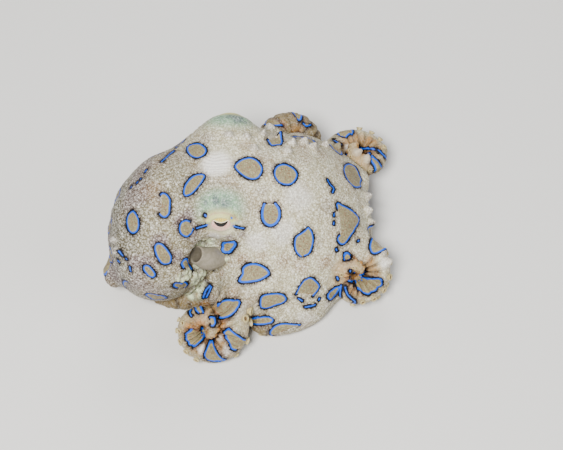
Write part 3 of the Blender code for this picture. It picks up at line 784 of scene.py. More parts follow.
# Closed rings as the photograph shows them: points along each line, as pixels
RINGS = {
    "mantle_top": ((187.6, 150.2), (188.4, 146.1), (193.7, 143.9), (199.8, 144.3), (204.4, 147.7),
                   (205.7, 151.2), (202.9, 155.3), (196.7, 157.3), (190.6, 154.8)),
    "mantle_neck": ((204.4, 175.7), (199.8, 174.7), (192.7, 177.2), (186.5, 183.9), (184.3, 190),
                    (184.3, 194.3), (186.5, 195.6), (191.6, 193.1), (197.8, 186.9), (202.3, 180.3)),
    "mantle_left": ((131.9, 211.4), (128.4, 215), (127.1, 221.6), (128.4, 228.8), (131.9, 232.6),
                    (135.7, 231.8), (138.1, 228.3), (138.6, 221.6), (136.7, 216), (134, 212.2)),
    "mantle_lower": ((164.6, 247.3), (161, 244.1), (156.9, 243.9), (155.2, 247.1), (155.9, 252.2),
                     (158.5, 258.4), (163.1, 263.5), (169.5, 263), (170.8, 257.3), (168.4, 252.2)),
    "mantle_tip": ((144.7, 266), (148.8, 266.5), (152.9, 271.1), (154.9, 274.7), (152.9, 277.2),
                   (148.8, 275.7), (145.2, 271.6), (143.7, 268.6)),
    "mantle_rim": ((145.7, 295), (150, 294.2), (157, 295.4), (163, 296.5), (166.8, 299), (161, 301.4),
                   (153, 299.5)),
    "head_left": ((235.3, 167), (239.6, 161.6), (245.7, 159.2), (251, 158.9), (257.2, 161.8),
                  (261.7, 168.5), (258.9, 176.2), (253.2, 178.6), (247, 177.2), (241.4, 173.6)),
    "head_right": ((274.8, 173.3), (276.7, 167.5), (282.5, 164.7), (288.2, 165.8), (294.5, 169.8),
                   (296.8, 175.6), (293.9, 181.3), (289.4, 184), (282.5, 183.4), (277.3, 179.6)),
    "cheek": ((239.4, 280.5), (242.9, 274.2), (242.9, 269.3), (245.7, 266.1), (252, 264.4),
              (259, 265.1), (265.4, 268.6), (269, 272.8), (266.1, 276), (259, 279.8), (251.3, 281.2),
              (243.6, 281.9)),
    "below_eye": ((222.9, 245.4), (224.6, 242.6), (230.3, 242.3), (234.1, 241.9), (235.2, 244.4),
                  (232.4, 248.6), (228.9, 252.1), (224.6, 249.6)),
    "web_near": ((260.7, 305.9), (261.1, 298.4), (263.6, 295.4), (269.8, 293.9), (277.3, 293.5),
                 (283.1, 295.1), (285.8, 299.3), (282.3, 302.6), (274.8, 304.7), (269, 307.1),
                 (264, 307.9)),
    "rim_flat": ((248.7, 320.8), (254.1, 318.3), (261.5, 317.3), (269, 317.3), (272.7, 319.2),
                 (271.5, 322.1), (265.7, 323.7), (259.1, 324.1), (253.3, 323.7)),
    "web_high": ((344.4, 167.5), (349, 164.1), (354.8, 167), (358.2, 173.3), (361.1, 180.2),
                 (361.1, 185.3), (356.5, 187.1), (350.8, 183.6), (346.2, 176.7)),
    "far_leaf": ((370.8, 157.3), (375.2, 159.5), (380, 164.7), (382.7, 169.8), (381.1, 174.6),
                 (376.2, 173.8), (373.8, 169.8), (371.6, 163.3)),
    "far_arm": ((338.8, 124.2), (342.6, 124.6), (347.5, 126.4), (352.9, 132.1), (348.1, 135.6),
                (341.9, 137.8), (338, 133.4), (336.7, 128.6)),
    "crest_arm": ((292.8, 112.8), (296.6, 110.7), (299.8, 112.3), (301.1, 116.1), (299.6, 120.2),
                  (296.6, 117.2)),
    "crest_flat": ((294.4, 135.8), (300.9, 136.9), (308.5, 137.6), (314.4, 141.2), (313.4, 143.2),
                   (307.4, 142.3), (300.9, 140.2), (296, 138.6)),
    "near_right": ((360.3, 278.1), (369.7, 279.2), (379.5, 278.9), (381.4, 282.9), (376.6, 288.1),
                   (368.6, 293.2), (362.8, 292.1), (357.1, 287.5), (355.4, 282.3)),
    "near_slot": ((338.7, 286.3), (331.8, 290.4), (327.5, 294.9), (329, 299.3), (333, 297.2),
                  (337.3, 291.5)),
    "curl_wedge": ((212.2, 340.1), (208.5, 346.5), (204.7, 354.4), (206, 357.7), (213.5, 360.6),
                   (220.9, 361), (225.5, 360), (220.9, 357.5), (216.8, 352.3), (213.9, 345.7)),
}

# Rings whose line is broken on one side
OPEN_RINGS = {
    "mantle_middle": ((161, 194.6), (163.3, 193.3), (167.1, 195.6), (169.7, 200.2), (169.4, 207.3),
                      (168.7, 213.5), (165.1, 216.9), (162, 216), (160, 214)),
    "mantle_by_eye": ((189.1, 221.6), (185.5, 220.6), (181.4, 222.7), (179.6, 227.8), (180.4, 232.3),
                      (183.5, 235.4), (187, 236.1), (190.6, 232.9), (192.4, 229)),
    "mantle_arch": ((183.7, 267.3), (182, 263.7), (184, 260.4), (187.2, 259.2), (188.8, 264),
                    (191.3, 268.8)),
    "mantle_broken": ((177.3, 287.4), (173.5, 285.4), (175.3, 282.3), (180.4, 281.6), (185, 282.1),
                      (186.9, 284.4), (184.3, 287.1)),
    "mantle_hook": ((125.5, 286.9), (123.1, 283.7), (124.8, 280.8), (128, 281.4)),
    "head_open": ((264.4, 204.3), (263, 208.9), (262.4, 214.6), (263.5, 220.3), (267, 224.4),
                  (271.6, 225.2), (276.7, 222.1), (279.3, 215.8), (278.6, 208.9), (275.4, 204)),
    "web_tall": ((304.3, 255.4), (308.9, 253.1), (311.7, 246.7), (312.7, 239.9), (311.7, 233),
                 (308.3, 227.8), (306, 230.1), (300.8, 234.1), (296.2, 237.6), (295.1, 245.6),
                 (296.8, 251.9), (300.8, 256.2)),
    "web_open": ((296.2, 293.8), (299.7, 286.9), (304.3, 280.6), (310, 278.1), (314.6, 280.6),
                 (318.9, 286), (316.9, 290.4), (312.9, 295.2)),
    "web_big": ((337.6, 208.5), (336.8, 203.4), (343.9, 206.6), (350.2, 210), (355.9, 215.2),
                (358.8, 220.3), (354.8, 228.4), (350.2, 235.3), (345.6, 242.4), (341.9, 244.1),
                (338.7, 241.6), (337.9, 237.6), (340.1, 235.5)),
    "web_edge": ((375.7, 234.1), (372, 239.9), (370.3, 246.7), (371.4, 251.9), (374.9, 253.3),
                 (380.9, 250.8)),
    "rim_leaf": ((272.7, 337), (270.2, 333.3), (272.3, 329.1), (277.3, 325.4), (283.9, 324),
                 (292.2, 324.6), (300.1, 325)),
    "curl_leaf": ((215.9, 306.7), (220.9, 303), (228.4, 300.9), (235, 300.3), (238.8, 301.3),
                  (238.3, 305.1), (236.3, 308.4), (233.4, 312.5), (229.2, 315.8), (224.2, 317.3),
                  (220.1, 317.1)),
    "curl_hairpin": ((198.7, 312.7), (195.5, 309), (197.3, 305.9), (200.4, 307.3), (203.3, 312.7)),
    "curl_hook": ((210.1, 317.5), (213.5, 317.9), (214.9, 321.7), (213.6, 325.4), (211.6, 325.5)),
    "curl_round": ((192.7, 329.1), (189, 331.2), (186.1, 334.1), (187.3, 339.1), (189.8, 343.2),
                   (194, 345.9), (197.7, 343.2), (201.8, 339.9), (203.6, 335.7), (202.8, 333.1)),
    "curl_side": ((235.4, 349.3), (231.9, 348), (230, 344), (229, 340.3), (226.3, 336.6),
                  (225.3, 332.4), (227.7, 329.3), (230.5, 329.9), (235, 333.7), (240, 337.4),
                  (244.1, 340.3), (249.1, 342), (252.6, 343.2)),
    "near_hole": ((344.2, 259.4), (344.7, 253.9), (347.9, 253.1), (349.8, 255.9), (348.7, 259.6)),
    "crest_cut": ((266.7, 118.3), (262.9, 121.5), (265.5, 124.8), (272.3, 125.5), (281.6, 125.4)),
    "crest_cup": ((268.2, 140.2), (271.6, 144.5), (275.4, 144.5), (280.5, 144.3), (281.5, 141),
                  (278.7, 138.1)),
    "crest_arc": ((303.1, 123.5), (305.8, 126.1), (310.9, 124.8)),
}

# Short blue lines and dots
STROKES = (
    ((196.6, 227.9), (202.2, 226.1), (207.8, 224.5)),
    ((233.1, 225.8), (238.3, 227.3), (243.6, 228.2)),
    ((161.5, 161.9), (167.1, 156.8), (173.8, 151.2)),
    ((176.3, 148.2), (177.3, 147.1)),
    ((145.2, 172.4), (146.7, 170.4)),
    ((136.7, 182.9), (137.6, 181.8)),
    ((130.6, 187.4), (131.2, 186.1)),
    ((140.3, 178.8), (140.6, 178.6)),
    ((121, 250.7), (123.3, 255.3)),
    ((118, 260.4), (119.8, 262)),
    ((130.1, 266.2), (131.2, 270.8)),
    ((126.3, 258.4), (127.1, 259)),
    ((327.8, 179.6), (330.7, 184.8), (333.9, 188.2), (332.5, 192.6)),
    ((334.3, 213.5), (333.8, 215.8)),
    ((333.9, 222.1), (333.7, 224.4)),
    ((336.2, 249), (336.6, 250.4)),
    ((358.8, 240.4), (358.2, 241.2)),
    ((298.2, 298.4), (302, 300.7)),
    ((305.1, 307), (310, 306.1), (314.8, 304.7)),
    ((354.8, 271.8), (354.3, 272.7)),
    ((350.5, 270.3), (350.2, 271.1)),
    ((337.3, 277.2), (338.1, 279.5)),
    ((319.2, 298.4), (318.7, 299.8)),
    ((341, 285.2), (340.1, 294.9), (341.2, 304.7)),
    ((344.7, 286.9), (347.9, 294.9), (355.4, 302.1), (349.6, 305.3)),
    ((191.2, 309.9), (189.7, 312.5), (191.6, 316)),
    ((201, 327), (201.2, 332)),
    ((209.7, 285.6), (206, 291), (203.9, 296.8)),
    ((211, 287), (208.8, 292.6), (206.4, 297.2)),
    ((309.6, 113.9), (310.4, 118.3)),
    ((321.7, 119.9), (320.8, 122.6)),
    ((290.9, 134.9), (295.5, 139.1)),
    ((333.7, 140.8), (339.9, 145.4)),
    ((356.7, 145.2), (361.6, 147.5), (369.2, 148.8), (376.8, 150.8), (382.2, 154), (387.8, 160)),
)

# Small blue dots at the corners of the upper eyelid
LID_DOTS = (
    ((205.2, 214.9), (206.2, 216.1)),
    ((231.4, 217.8), (231.7, 218.1)),
)

LINE_HALF_WIDTH = 0.145
WIDER_LINES = {"head_open": 0.07, "below_eye": 0.08, "cheek": 0.03, "near_hole": 0.02, "mantle_arch": 0.05,
               "lid_dot": 0.04}
OUTLINE_STEP = 0.35
PLANE_SLACK = 1.3
LEVEL_SLACK = 0.9
COIL_REACH = 8.0
FAR_FROM_RING = 3.0
RING_MARGIN = 1.4
UNSEEN_FACING = 0.12
UNSEEN_TRIES = 9000
UNSEEN_SIZES = (1.25, 2.3)
UNSEEN_SPACE = 1.5
UNSEEN_LOWEST = 2.4
UNSEEN_CORNERS = 9
ARM_RING_STEP = 3.1
ARM_RING_FIRST = 1.5
ARM_RING_LAST = 16.0

# Places that have no rings beside those that the photograph shows: middle and reach
CLEAR_PLACES = ((EYE_RIGHT, 6.0), (EYE_LEFT, 6.0), (np.array(PIT[0]), 6.5))


def inside_outline(places, outline):
    """Whether flat places are inside a closed outline."""
    inside = np.zeros(len(places), dtype=bool)
    for start, end in zip(outline, np.roll(outline, -1, axis=0)):
        rise = end[1] - start[1]
        spans = (start[1] > places[:, 1]) != (end[1] > places[:, 1])
        cut = start[0] + (places[:, 1] - start[1]) * (end[0] - start[0]) / (rise if rise else SMALL)
        inside ^= spans & (places[:, 0] < cut)
    return inside


class Marks:
    """Distances from each point of the skin to the lines of the rings and strokes."""

    def __init__(self, points, normals):
        self.points = points
        self.normals = normals
        self.line = np.full(len(points), FAR_FROM_RING)
        self.inner = np.full(len(points), FAR_FROM_RING)
        self.middles = list(CLEAR_PLACES)

    def draw(self, route, direction, closed, filled=True, wider=0.0):
        """Draw a line along a route on the skin, and measure how far inside it each point is."""
        middle = (route.min(axis=0) + route.max(axis=0)) / 2
        reach = np.abs(route - middle).max(axis=0) + RING_MARGIN
        near = np.nonzero(np.all(np.abs(self.points - middle) < reach, axis=1))[0]
        near = near[self.normals[near] @ direction > 0.05]
        height = (route - middle) @ direction
        level = (self.points[near] - middle) @ direction
        near = near[(level > height.min() - LEVEL_SLACK) & (level < height.max() + LEVEL_SLACK)]
        across, up = side_frame(direction, np.array((0.31, 0.95, 0.05)))
        flat = (self.points[near] - middle) @ np.stack((across, up), axis=1)
        outline = (route - middle) @ np.stack((across, up), axis=1)
        line = np.full(len(near), FAR_FROM_RING)
        edge = np.full(len(near), FAR_FROM_RING)
        for index in range(len(outline)):
            reach = capsule(flat, outline[index - 1], outline[index], 0.0)
            edge = np.minimum(edge, reach)
            if index or closed:
                line = np.minimum(line, reach)
        self.line[near] = np.minimum(self.line[near], line - wider)
        if filled:
            edge = np.where(inside_outline(flat, outline), -edge, edge)
            self.inner[near] = np.minimum(self.inner[near], edge)


def on_skin(pixels, seen, middle):
    """The outline's places on the skin, all near one plane, with the plane's direction."""
    spots, directions, met = seen
    middle_spot, middle_direction, middle_met = middle
    if not middle_met[0] and not met.any():
        return None, None
    if middle_met[0]:
        spot, direction = middle_spot[0], middle_direction[0]
    else:
        spot, direction = spots[met].mean(axis=0), directions[met].mean(axis=0)
    direction = unit(direction)
    facing = direction @ CAMERA_BACK
    coiled = any(np.linalg.norm(spot - arm.coil[0]) < COIL_REACH for arm in ARMS if arm.coil)
    if coiled:
        direction = CAMERA_BACK
    elif facing < 0.4:
        direction = unit(direction + CAMERA_BACK * (0.45 - facing))
    lines = sight_lines(pixels)
    depth = (spot - CAMERA_PLACE) @ direction / (lines @ direction)
    flat = CAMERA_PLACE + lines * depth[:, None]
    off_plane = np.linalg.norm(flat - spots, axis=1) > PLANE_SLACK
    return np.where((off_plane | ~met)[:, None], flat, spots), direction


def curve(pixels, closed):
    """A smooth line through pixels, as more pixels."""
    pixels = np.array(pixels, dtype=float)
    if len(pixels) < 3:
        return pixels
    flat = np.column_stack((pixels, np.zeros(len(pixels))))
    if not closed:
        return smooth_route(flat, OUTLINE_STEP / PIXEL)[:, :2]
    looped = np.vstack([flat[-2:], flat, flat[:2]])
    whole = smooth_route(looped, OUTLINE_STEP / PIXEL)[:, :2]
    start = int(np.argmin(np.linalg.norm(whole[:len(whole) // 2] - pixels[0], axis=1)))
    end = len(whole) // 2 + int(np.argmin(np.linalg.norm(whole[len(whole) // 2:] - pixels[0], axis=1)))
    return whole[start:end]


def photo_lines(marks):
    """Draw every ring and stroke that the photograph shows."""
    drawn = [(name, curve(pixels, True), True, True) for name, pixels in RINGS.items()]
    drawn += [(name, curve(pixels, False), False, True) for name, pixels in OPEN_RINGS.items()]
    drawn += [("", curve(pixels, False), False, False) for pixels in STROKES]
    drawn += [("lid_dot", curve(pixels, False), False, False) for pixels in LID_DOTS]
    outlines = seen_groups([pixels for _, pixels, _, _ in drawn])
    middles = seen_groups([[pixels.mean(axis=0)] for _, pixels, _, _ in drawn])
    for (name, pixels, closed, filled), seen, middle in zip(drawn, outlines, middles):
        route, direction = on_skin(pixels, seen, middle)
        if route is None:
            continue
        marks.draw(route, direction, closed, filled, WIDER_LINES.get(name, 0.0))
        center = route.mean(axis=0)
        if filled:
            marks.middles.append((center, np.linalg.norm(route - center, axis=1).max()))


def round_outline(spot, across, up, half_sizes, draw):
    """An uneven oval on the skin, drawn out a little at some of its corners."""
    angle = np.linspace(0, 2 * math.pi, UNSEEN_CORNERS, endpoint=False)
    size = draw.uniform(0.88, 1.08, UNSEEN_CORNERS)
    size[draw.integers(UNSEEN_CORNERS)] += 0.16
    flat = np.stack((np.cos(angle) * size * half_sizes[0], np.sin(angle) * size * half_sizes[1]), axis=1)
    corners = spot + flat[:, :1] * across + flat[:, 1:] * up
    looped = np.vstack([corners, corners[:3]])
    route = smooth_route(looped, OUTLINE_STEP)
    start = int(np.argmin(np.linalg.norm(route[:len(route) // 2] - corners[1], axis=1)))
    end = len(route) // 2 + int(np.argmin(np.linalg.norm(route[len(route) // 2:] - corners[1], axis=1)))
    return route[start:end]


def is_seen(tree, spot, direction):
    """Whether the photograph shows a place on the skin."""
    aim = unit(CAMERA_PLACE - spot)
    if direction @ aim < UNSEEN_FACING:
        return False
    start = Vector(spot + direction * 0.3)
    return tree.ray_cast(start, Vector(aim), CAMERA_DISTANCE)[0] is None


def unseen_rings(marks, tree, table):
    """Rings on the sides that the photograph doesn't show, spaced as on those that it does."""
    draw = np.random.default_rng(7)
    open_skin = (table["free"] < 0.15) & (marks.points[:, 2] > UNSEEN_LOWEST) & (marks.normals[:, 2] > -0.35)
    candidates = np.nonzero(open_skin)[0]
    for index in draw.choice(candidates, UNSEEN_TRIES):
        spot = marks.points[index]
        direction = marks.normals[index]
        half = draw.uniform(*UNSEEN_SIZES)
        if any(np.linalg.norm(spot - other) < half + size + UNSEEN_SPACE for other, size in marks.middles):
            continue
        if is_seen(tree, spot, direction):
            continue
        across, up = side_frame(direction, unit(draw.normal(size=3)))
        narrow = half * draw.uniform(0.62, 0.95)
        route = round_outline(spot, across, up, (half, narrow), draw)
        closed = draw.random() < 0.75
        if any(is_seen(tree, point, direction) for point in route[::3]):
            continue
        marks.draw(route, direction, closed)
        marks.middles.append((spot, half))


def arm_rings(marks, tree):
    """Long rings across the arms, where the photograph doesn't show them."""
    draw = np.random.default_rng(11)
    for arm in ARMS:
        here = arm.free + ARM_RING_FIRST
        turn = 0
        while here < min(arm.places[-1] - 1.5, arm.free + ARM_RING_LAST):
            middle, radius, oral, ahead = arm.at(np.array([here]))
            middle, radius, oral, ahead = middle[0], float(radius[0]), oral[0], ahead[0]
            flank = np.cross(ahead, oral)
            for angle in (90, 180, 270) if turn % 2 else (125, 235):
                outward = math.cos(math.radians(angle)) * oral + math.sin(math.radians(angle)) * flank
                spot = middle + outward * radius
                if is_seen(tree, spot, outward) or spot[2] < 0.6:
                    continue
                if arm.coil and outward @ CAMERA_BACK > 0.1:
                    continue
                if any(np.linalg.norm(spot - place_) < size + 1.0 for place_, size in CLEAR_PLACES):
                    continue
                half = min(0.5 * radius, 1.3)
                route = round_outline(spot, ahead, np.cross(outward, ahead), (half * 0.75, half), draw)
                if any(is_seen(tree, point, outward) for point in route[::2]):
                    continue
                marks.draw(route, outward, closed=True)
            here += max(ARM_RING_STEP * radius / ARM_RADIUS, 1.6)
            turn += 1


def linear(red, green, blue):
    """A colour as seen on a screen, turned into light."""
    color = np.array((red, green, blue)) / 255.0
    return np.where(color <= 0.04045, color / 12.92, ((color + 0.055) / 1.055)**2.4)


CREAM = linear(237, 233, 198)
WHITE = linear(248, 246, 240)
MANTLE = linear(151, 142, 105)
# Mauve grey of the skin's blotches and ring halos, also used as painted shade in the groove beside the eye and
# along the mantle's top edge
MAUVE_AND_SHADE = linear(118, 86, 104)
OLIVE = linear(150, 138, 98)
PEACH = linear(176, 136, 100)
TAN = linear(127, 119, 88)
TEAL = linear(142, 186, 154)
SLATE = linear(74, 92, 100)
LID_YELLOW = linear(216, 212, 140)
LID_PINK = linear(222, 150, 146)
BROWN = linear(100, 78, 34)
# Painted shade in the furrows between the pleats of the coils
FURROW_SHADE = linear(50, 34, 18)
PLEAT = linear(206, 184, 132)
ORANGE = linear(168, 112, 28)
GREEN_WHITE = linear(224, 240, 196)
ORAL = linear(186, 168, 130)
# Painted shade for the pit under the funnel, the holes of the coils and the gaps between the warts
PIT_SHADE = linear(74, 62, 48)

# Soft patches of colour, among them painted shade and painted highlight: pixel, reach in pixels, and strength
PATCHES = (
    # Painted shade among these: the patches in the groove between the mantle and the eye, and along the
    # mantle's top edge
    (MAUVE_AND_SHADE, ((182, 222, 11, 0.55), (160, 243, 11, 0.6), (177, 256, 9, 0.55), (148, 262, 10, 0.5),
              (134, 262, 9, 0.45), (206, 139, 10, 0.3), (227, 162, 8, 0.3), (262, 190, 9, 0.2),
              (327, 207, 10, 0.25), (371, 210, 8, 0.45), (318, 243, 8, 0.2), (229, 237, 5, 0.5),
              (242, 235, 5, 0.4), (190, 214, 7, 0.4), (365, 196, 9, 0.3), (300, 348, 10, 0.4))),
    (PEACH, ((243, 260, 8, 0.5), (262, 256, 7, 0.35), (300, 266, 10, 0.4), (326, 262, 9, 0.5),
             (283, 262, 9, 0.3), (222, 274, 6, 0.45), (233, 293, 8, 0.35), (320, 152, 12, 0.3),
             (262, 298, 9, 0.2), (246, 146, 9, 0.3), (340, 160, 10, 0.25), (347, 262, 12, 0.4),
             (150, 190, 12, 0.2), (203, 322, 9, 0.5), (224, 322, 6, 0.45), (347, 254, 7, 0.35),
             (335, 266, 7, 0.4), (360, 262, 5, 0.4))),
    # Pale skin, and painted highlight in the broad bright areas on the head and the front of the web
    (WHITE, ((213, 166, 13, 0.6), (298, 196, 17, 0.6), (282, 232, 15, 0.6), (257, 242, 12, 0.6),
             (386, 262, 9, 0.7), (240, 310, 10, 0.3), (214, 236, 8, 0.6), (305, 320, 12, 0.4),
             (202, 349, 5, 0.6), (229, 350, 6, 0.55), (221, 338, 4, 0.4), (373, 300, 7, 0.5),
             (364, 311, 5, 0.4), (326, 305, 5, 0.4), (381, 250, 6, 0.5))),
    # Painted shade in the pit under the funnel and in the holes of the coils
    (PIT_SHADE, ((214, 270, 3.0, 0.8), (206, 281, 4.0, 0.8), (202, 289, 4.0, 0.7),
                (347.5, 265, 1.8, 0.8), (348.5, 270, 1.8, 0.8), (213.5, 333, 1.5, 0.8))),
    (ORANGE, ((197.7, 295, 2.6, 0.8), (296, 131, 8, 0.35), (283, 125, 6, 0.3), (206, 304, 6, 0.45),
              (221, 324, 6, 0.4))),
)


def mixed(colors, color, share):
    return colors + (color - colors) * np.clip(share, 0.0, 1.0)[:, None]


def skin_tones(points, normals, table, inner):
    """The skin's broad colours, with some painted shade and painted highlight, before the grain that the
    material adds.
    """
    free = table["free"]
    tones = np.tile(CREAM, (len(points), 1))
    back = smoothstep(-2.0, -13.0, points[:, 0] + 0.35 * points[:, 1])
    tones = mixed(tones, MANTLE, back * 0.85)
    # Painted shade: darker towards the floor and on the far side
    tones = mixed(tones, MANTLE, smoothstep(11.0, 2.0, points[:, 2]) * 0.55)
    tones = mixed(tones, MANTLE, smoothstep(8.0, 14.0, points[:, 1]) * 0.35)
    # Painted shade: the mantle darkens towards its rear end
    tones = tones * (1.0 - 0.6 * smoothstep(-13.5, -24.0, points[:, 0]))[:, None]
    patch = noise(points, 4.6, 61) + 0.5 * noise(points, 2.3, 62)
    tones = mixed(tones, MAUVE_AND_SHADE, smoothstep(0.1, 0.9, patch) * (0.2 + 0.3 * back))
    tones = mixed(tones, PEACH, smoothstep(0.1, 0.8, noise(points, 3.1, 63)) * 0.3)
    tones = mixed(tones, OLIVE, smoothstep(0.1, 0.8, noise(points, 2.4, 65)) * 0.22)
    roll = free * np.maximum(smoothstep(0.6, -0.2, table["facing"]), smoothstep(5.0, 3.5, table["heart"]))
    pale = smoothstep(2.0, 4.5, table["heart"])
    coiled = table["heart"] < FAR_FROM_HEART
    tones = mixed(tones, PLEAT, roll * pale * (0.15 + 0.35 * coiled))
    tones = mixed(tones, BROWN, roll * (0.85 - 0.5 * pale))
    tones = mixed(tones, BROWN, free * ~coiled * 0.75)
    ember = smoothstep(-0.2, 0.6, noise(points, 1.6, 64))
    tones = mixed(tones, ORANGE, roll * smoothstep(7.0, 2.5, table["heart"]) * (0.35 + 0.55 * ember))
    # Painted shade in the furrows between the pleats
    tones = mixed(tones, FURROW_SHADE, roll * smoothstep(0.55, 0.1, table["pleat"]) * 0.75)
    table["pale"] = np.zeros(len(points))
    for (color, spots), (places, _, met) in zip(PATCHES, table["patches"]):
        for place_, spot, seen in zip(places, spots, met):
            if seen:
                reach = np.linalg.norm(points - place_, axis=1) / (spot[2] * PIXEL)
                ragged = reach + 0.18 * noise(points, 0.7, 66)
                share = smoothstep(1.3, 0.35, ragged) * spot[3] * 1.25
                tones = mixed(tones, color, share)
                if color is WHITE:
                    table["pale"] = np.maximum(table["pale"], share)
    tones = mixed(tones, WHITE, table["taut"] * (0.75 + 0.25 * table["stretch"]))
    tones = mixed(tones, MAUVE_AND_SHADE, np.maximum(-table["stretch"], 0.0) * 0.35)
    tones = mixed(tones, MAUVE_AND_SHADE, smoothstep(1.0, 0.3, inner) * 0.22)
    tones = mixed(tones, WHITE, smoothstep(0.1, 0.6, table["cone"]) * 0.6)
    # Pale green-white warts, brighter on their tops with painted highlight
    tones = mixed(tones, GREEN_WHITE, table["warty"] * (0.35 + 0.6 * table["bead"]))
    # Painted shade in the gaps between the warts
    tones = mixed(tones, PIT_SHADE, table["warty"] * smoothstep(0.3, 0.0, table["bead"]) * 0.5)
    for center, gaze in ((EYE_RIGHT, GAZE_RIGHT), (EYE_LEFT, GAZE_LEFT)):
        tones = eye_tones(tones, points, center, unit(gaze))
    tones = mixed(tones, ORAL, free * smoothstep(0.4, 0.9, table["facing"]) * 0.6)
    under = smoothstep(-0.3, -0.8, normals[:, 2]) * (1.0 - free)
    return mixed(tones, ORAL, under * 0.8)


def eye_tones(tones, points, center, gaze):
    """The teal dome over an eye, its yellow upper lid and its pink lower one."""
    away = points - center
    across, up = side_frame(gaze, np.array((0.0, 0.0, 1.0)))
    x, y, front = away @ across, away @ up, away @ gaze
    dome = smoothstep(1.1, 0.5, np.hypot(x / 4.9, (y - 2.2) / 3.9)) * smoothstep(-2.4, 0.2, front)
    tones = mixed(tones, TEAL, dome * 0.9)
    mottle = smoothstep(-0.3, 0.5, noise(points, 0.8, 67) + 0.6 * noise(points, 2.6, 68))
    high = smoothstep(1.0, 0.4, np.hypot((x - 1.0) / 4.0, (y - 2.9) / 1.9))
    tones = mixed(tones, SLATE, dome * high * mottle * 0.75)
    slit = np.hypot(x / SLIT_HALF_WIDTH, y / (SLIT_HALF_HEIGHT + SLIT_LOWER * (y < 0)))
    front = smoothstep(0.2, 1.2, front)
    upper = smoothstep(2.3, 1.2, slit) * front * smoothstep(0.0, 0.5, y)
    tones = mixed(tones, LID_YELLOW, upper * 0.9)
    # Painted shade along the crease above the upper lid
    crease = np.exp(-((slit - 1.45) / 0.1)**2) * front * smoothstep(-0.2, 0.4, y)
    tones = mixed(tones, LID_PINK * 0.6, crease * 0.5)
    low = np.hypot(x / 2.0, y / 1.3)
    rim = np.exp(-((low - 0.74) / 0.12)**2) + 0.6 * np.exp(-((low - 1.02) / 0.08)**2)
    return mixed(tones, LID_PINK, rim * front * smoothstep(0.3, -0.2, y) * 0.85)


def plain_share(points, table):
    """How far each point is without grain: on the eyelids, in the coils and on the loose arms."""
    lying = table["heart"] == FAR_FROM_HEART
    plain = table["free"] * (0.35 + 0.4 * smoothstep(5.5, 3.0, table["heart"]) + 0.35 * lying)
    plain = np.maximum(plain, table["warty"] * table["bead"] * 0.6)
    plain = np.maximum(plain, table["taut"] * 0.75)
    plain = np.maximum(plain, table["pale"] * 0.25)
    for center, gaze in ((EYE_RIGHT, unit(GAZE_RIGHT)), (EYE_LEFT, unit(GAZE_LEFT))):
        away = points - center
        across, up = side_frame(gaze, np.array((0.0, 0.0, 1.0)))
        x, y, front = away @ across, away @ up, away @ gaze
        slit = np.hypot(x / SLIT_HALF_WIDTH, (y - 0.4) / (SLIT_HALF_HEIGHT + 0.4))
        lid = smoothstep(2.0, 1.2, slit) * smoothstep(0.2, 1.2, front)
        dome = smoothstep(1.1, 0.4, np.hypot(x / 4.9, (y - 2.2) / 3.9)) * smoothstep(-2.4, 0.2, front)
        plain = np.maximum(plain, np.maximum(lid * 0.85, dome * 0.45))
    return plain


def mark_skin(mesh, points, normals, table):
    marks = Marks(points, normals)
    corners = [tuple(point) for point in points]
    quads = [tuple(face.vertices) for face in mesh.polygons]
    tree = BVHTree.FromPolygons(corners, quads)
    photo_lines(marks)
    arm_rings(marks, tree)
    unseen_rings(marks, tree, table)
    add_numbers(mesh, "line", marks.line)
    add_numbers(mesh, "inner", marks.inner)
    add_colors(mesh, "tone", skin_tones(points, normals, table, marks.inner))
    add_numbers(mesh, "plain", plain_share(points, table))


# Materials


class Graph:
    """A short way to write a material's nodes."""

    def __init__(self, name):
        self.material = bpy.data.materials.new(name)
        self.material.use_nodes = True
        self.tree = self.material.node_tree
        self.shader = self.tree.nodes["Principled BSDF"]

    def node(self, kind, settings=None, **inputs):
        made = self.tree.nodes.new(kind)
        for key, value in (settings or {}).items():
            setattr(made, key, value)
        for key, value in inputs.items():
            self.put(made.inputs[key.replace("_", " ")], value)
        return made

    def put(self, socket, value):
        if isinstance(value, bpy.types.NodeSocket):
            self.tree.links.new(value, socket)
        else:
            socket.default_value = value

    def math(self, operation, first, second=0.0):
        made = self.tree.nodes.new("ShaderNodeMath")
        made.operation = operation
        self.put(made.inputs[0], first)
        self.put(made.inputs[1], second)
        return made.outputs[0]

    def ramp(self, value, low, high, start=0.0, end=1.0):
        made = self.node("ShaderNodeMapRange", {"interpolation_type": "SMOOTHSTEP"})
        for socket, number in zip(made.inputs[:5], (value, low, high, start, end)):
            self.put(socket, number)
        return made.outputs[0]

    def mix(self, share, first, second, kind="MIX"):
        made = self.tree.nodes.new("ShaderNodeMix")
        made.data_type = "RGBA"
        made.blend_type = kind
        self.put(made.inputs[0], share)
        self.put(made.inputs[6], color_of(first))
        self.put(made.inputs[7], color_of(second))
        return made.outputs[2]

    def attribute(self, name):
        return self.node("ShaderNodeAttribute", {"attribute_name": name})

    def noise(self, size, detail=3.0):
        """Noise whose lumps are about size millimetres."""
        spot = self.node("ShaderNodeTexCoord").outputs["Object"]
        return self.node("ShaderNodeTexNoise", Vector=spot, Scale=1.0 / (size * MM),
                         Detail=detail).outputs["Fac"]

    def cells(self, size):
        """Distance to the middle of the nearest grain, as a share of its size."""
        spot = self.node("ShaderNodeTexCoord").outputs["Object"]
        return self.node("ShaderNodeTexVoronoi", Vector=spot, Scale=1.0 / (size * MM)).outputs["Distance"]

    def bump(self, height, distance, strength=1.0):
        made = self.node("ShaderNodeBump", Strength=strength, Distance=distance * MM, Height=height)
        self.tree.links.new(made.outputs[0], self.shader.inputs["Normal"])

    def set(self, **inputs):
        for key, value in inputs.items():
            self.put(self.shader.inputs[key.replace("_", " ")], value)


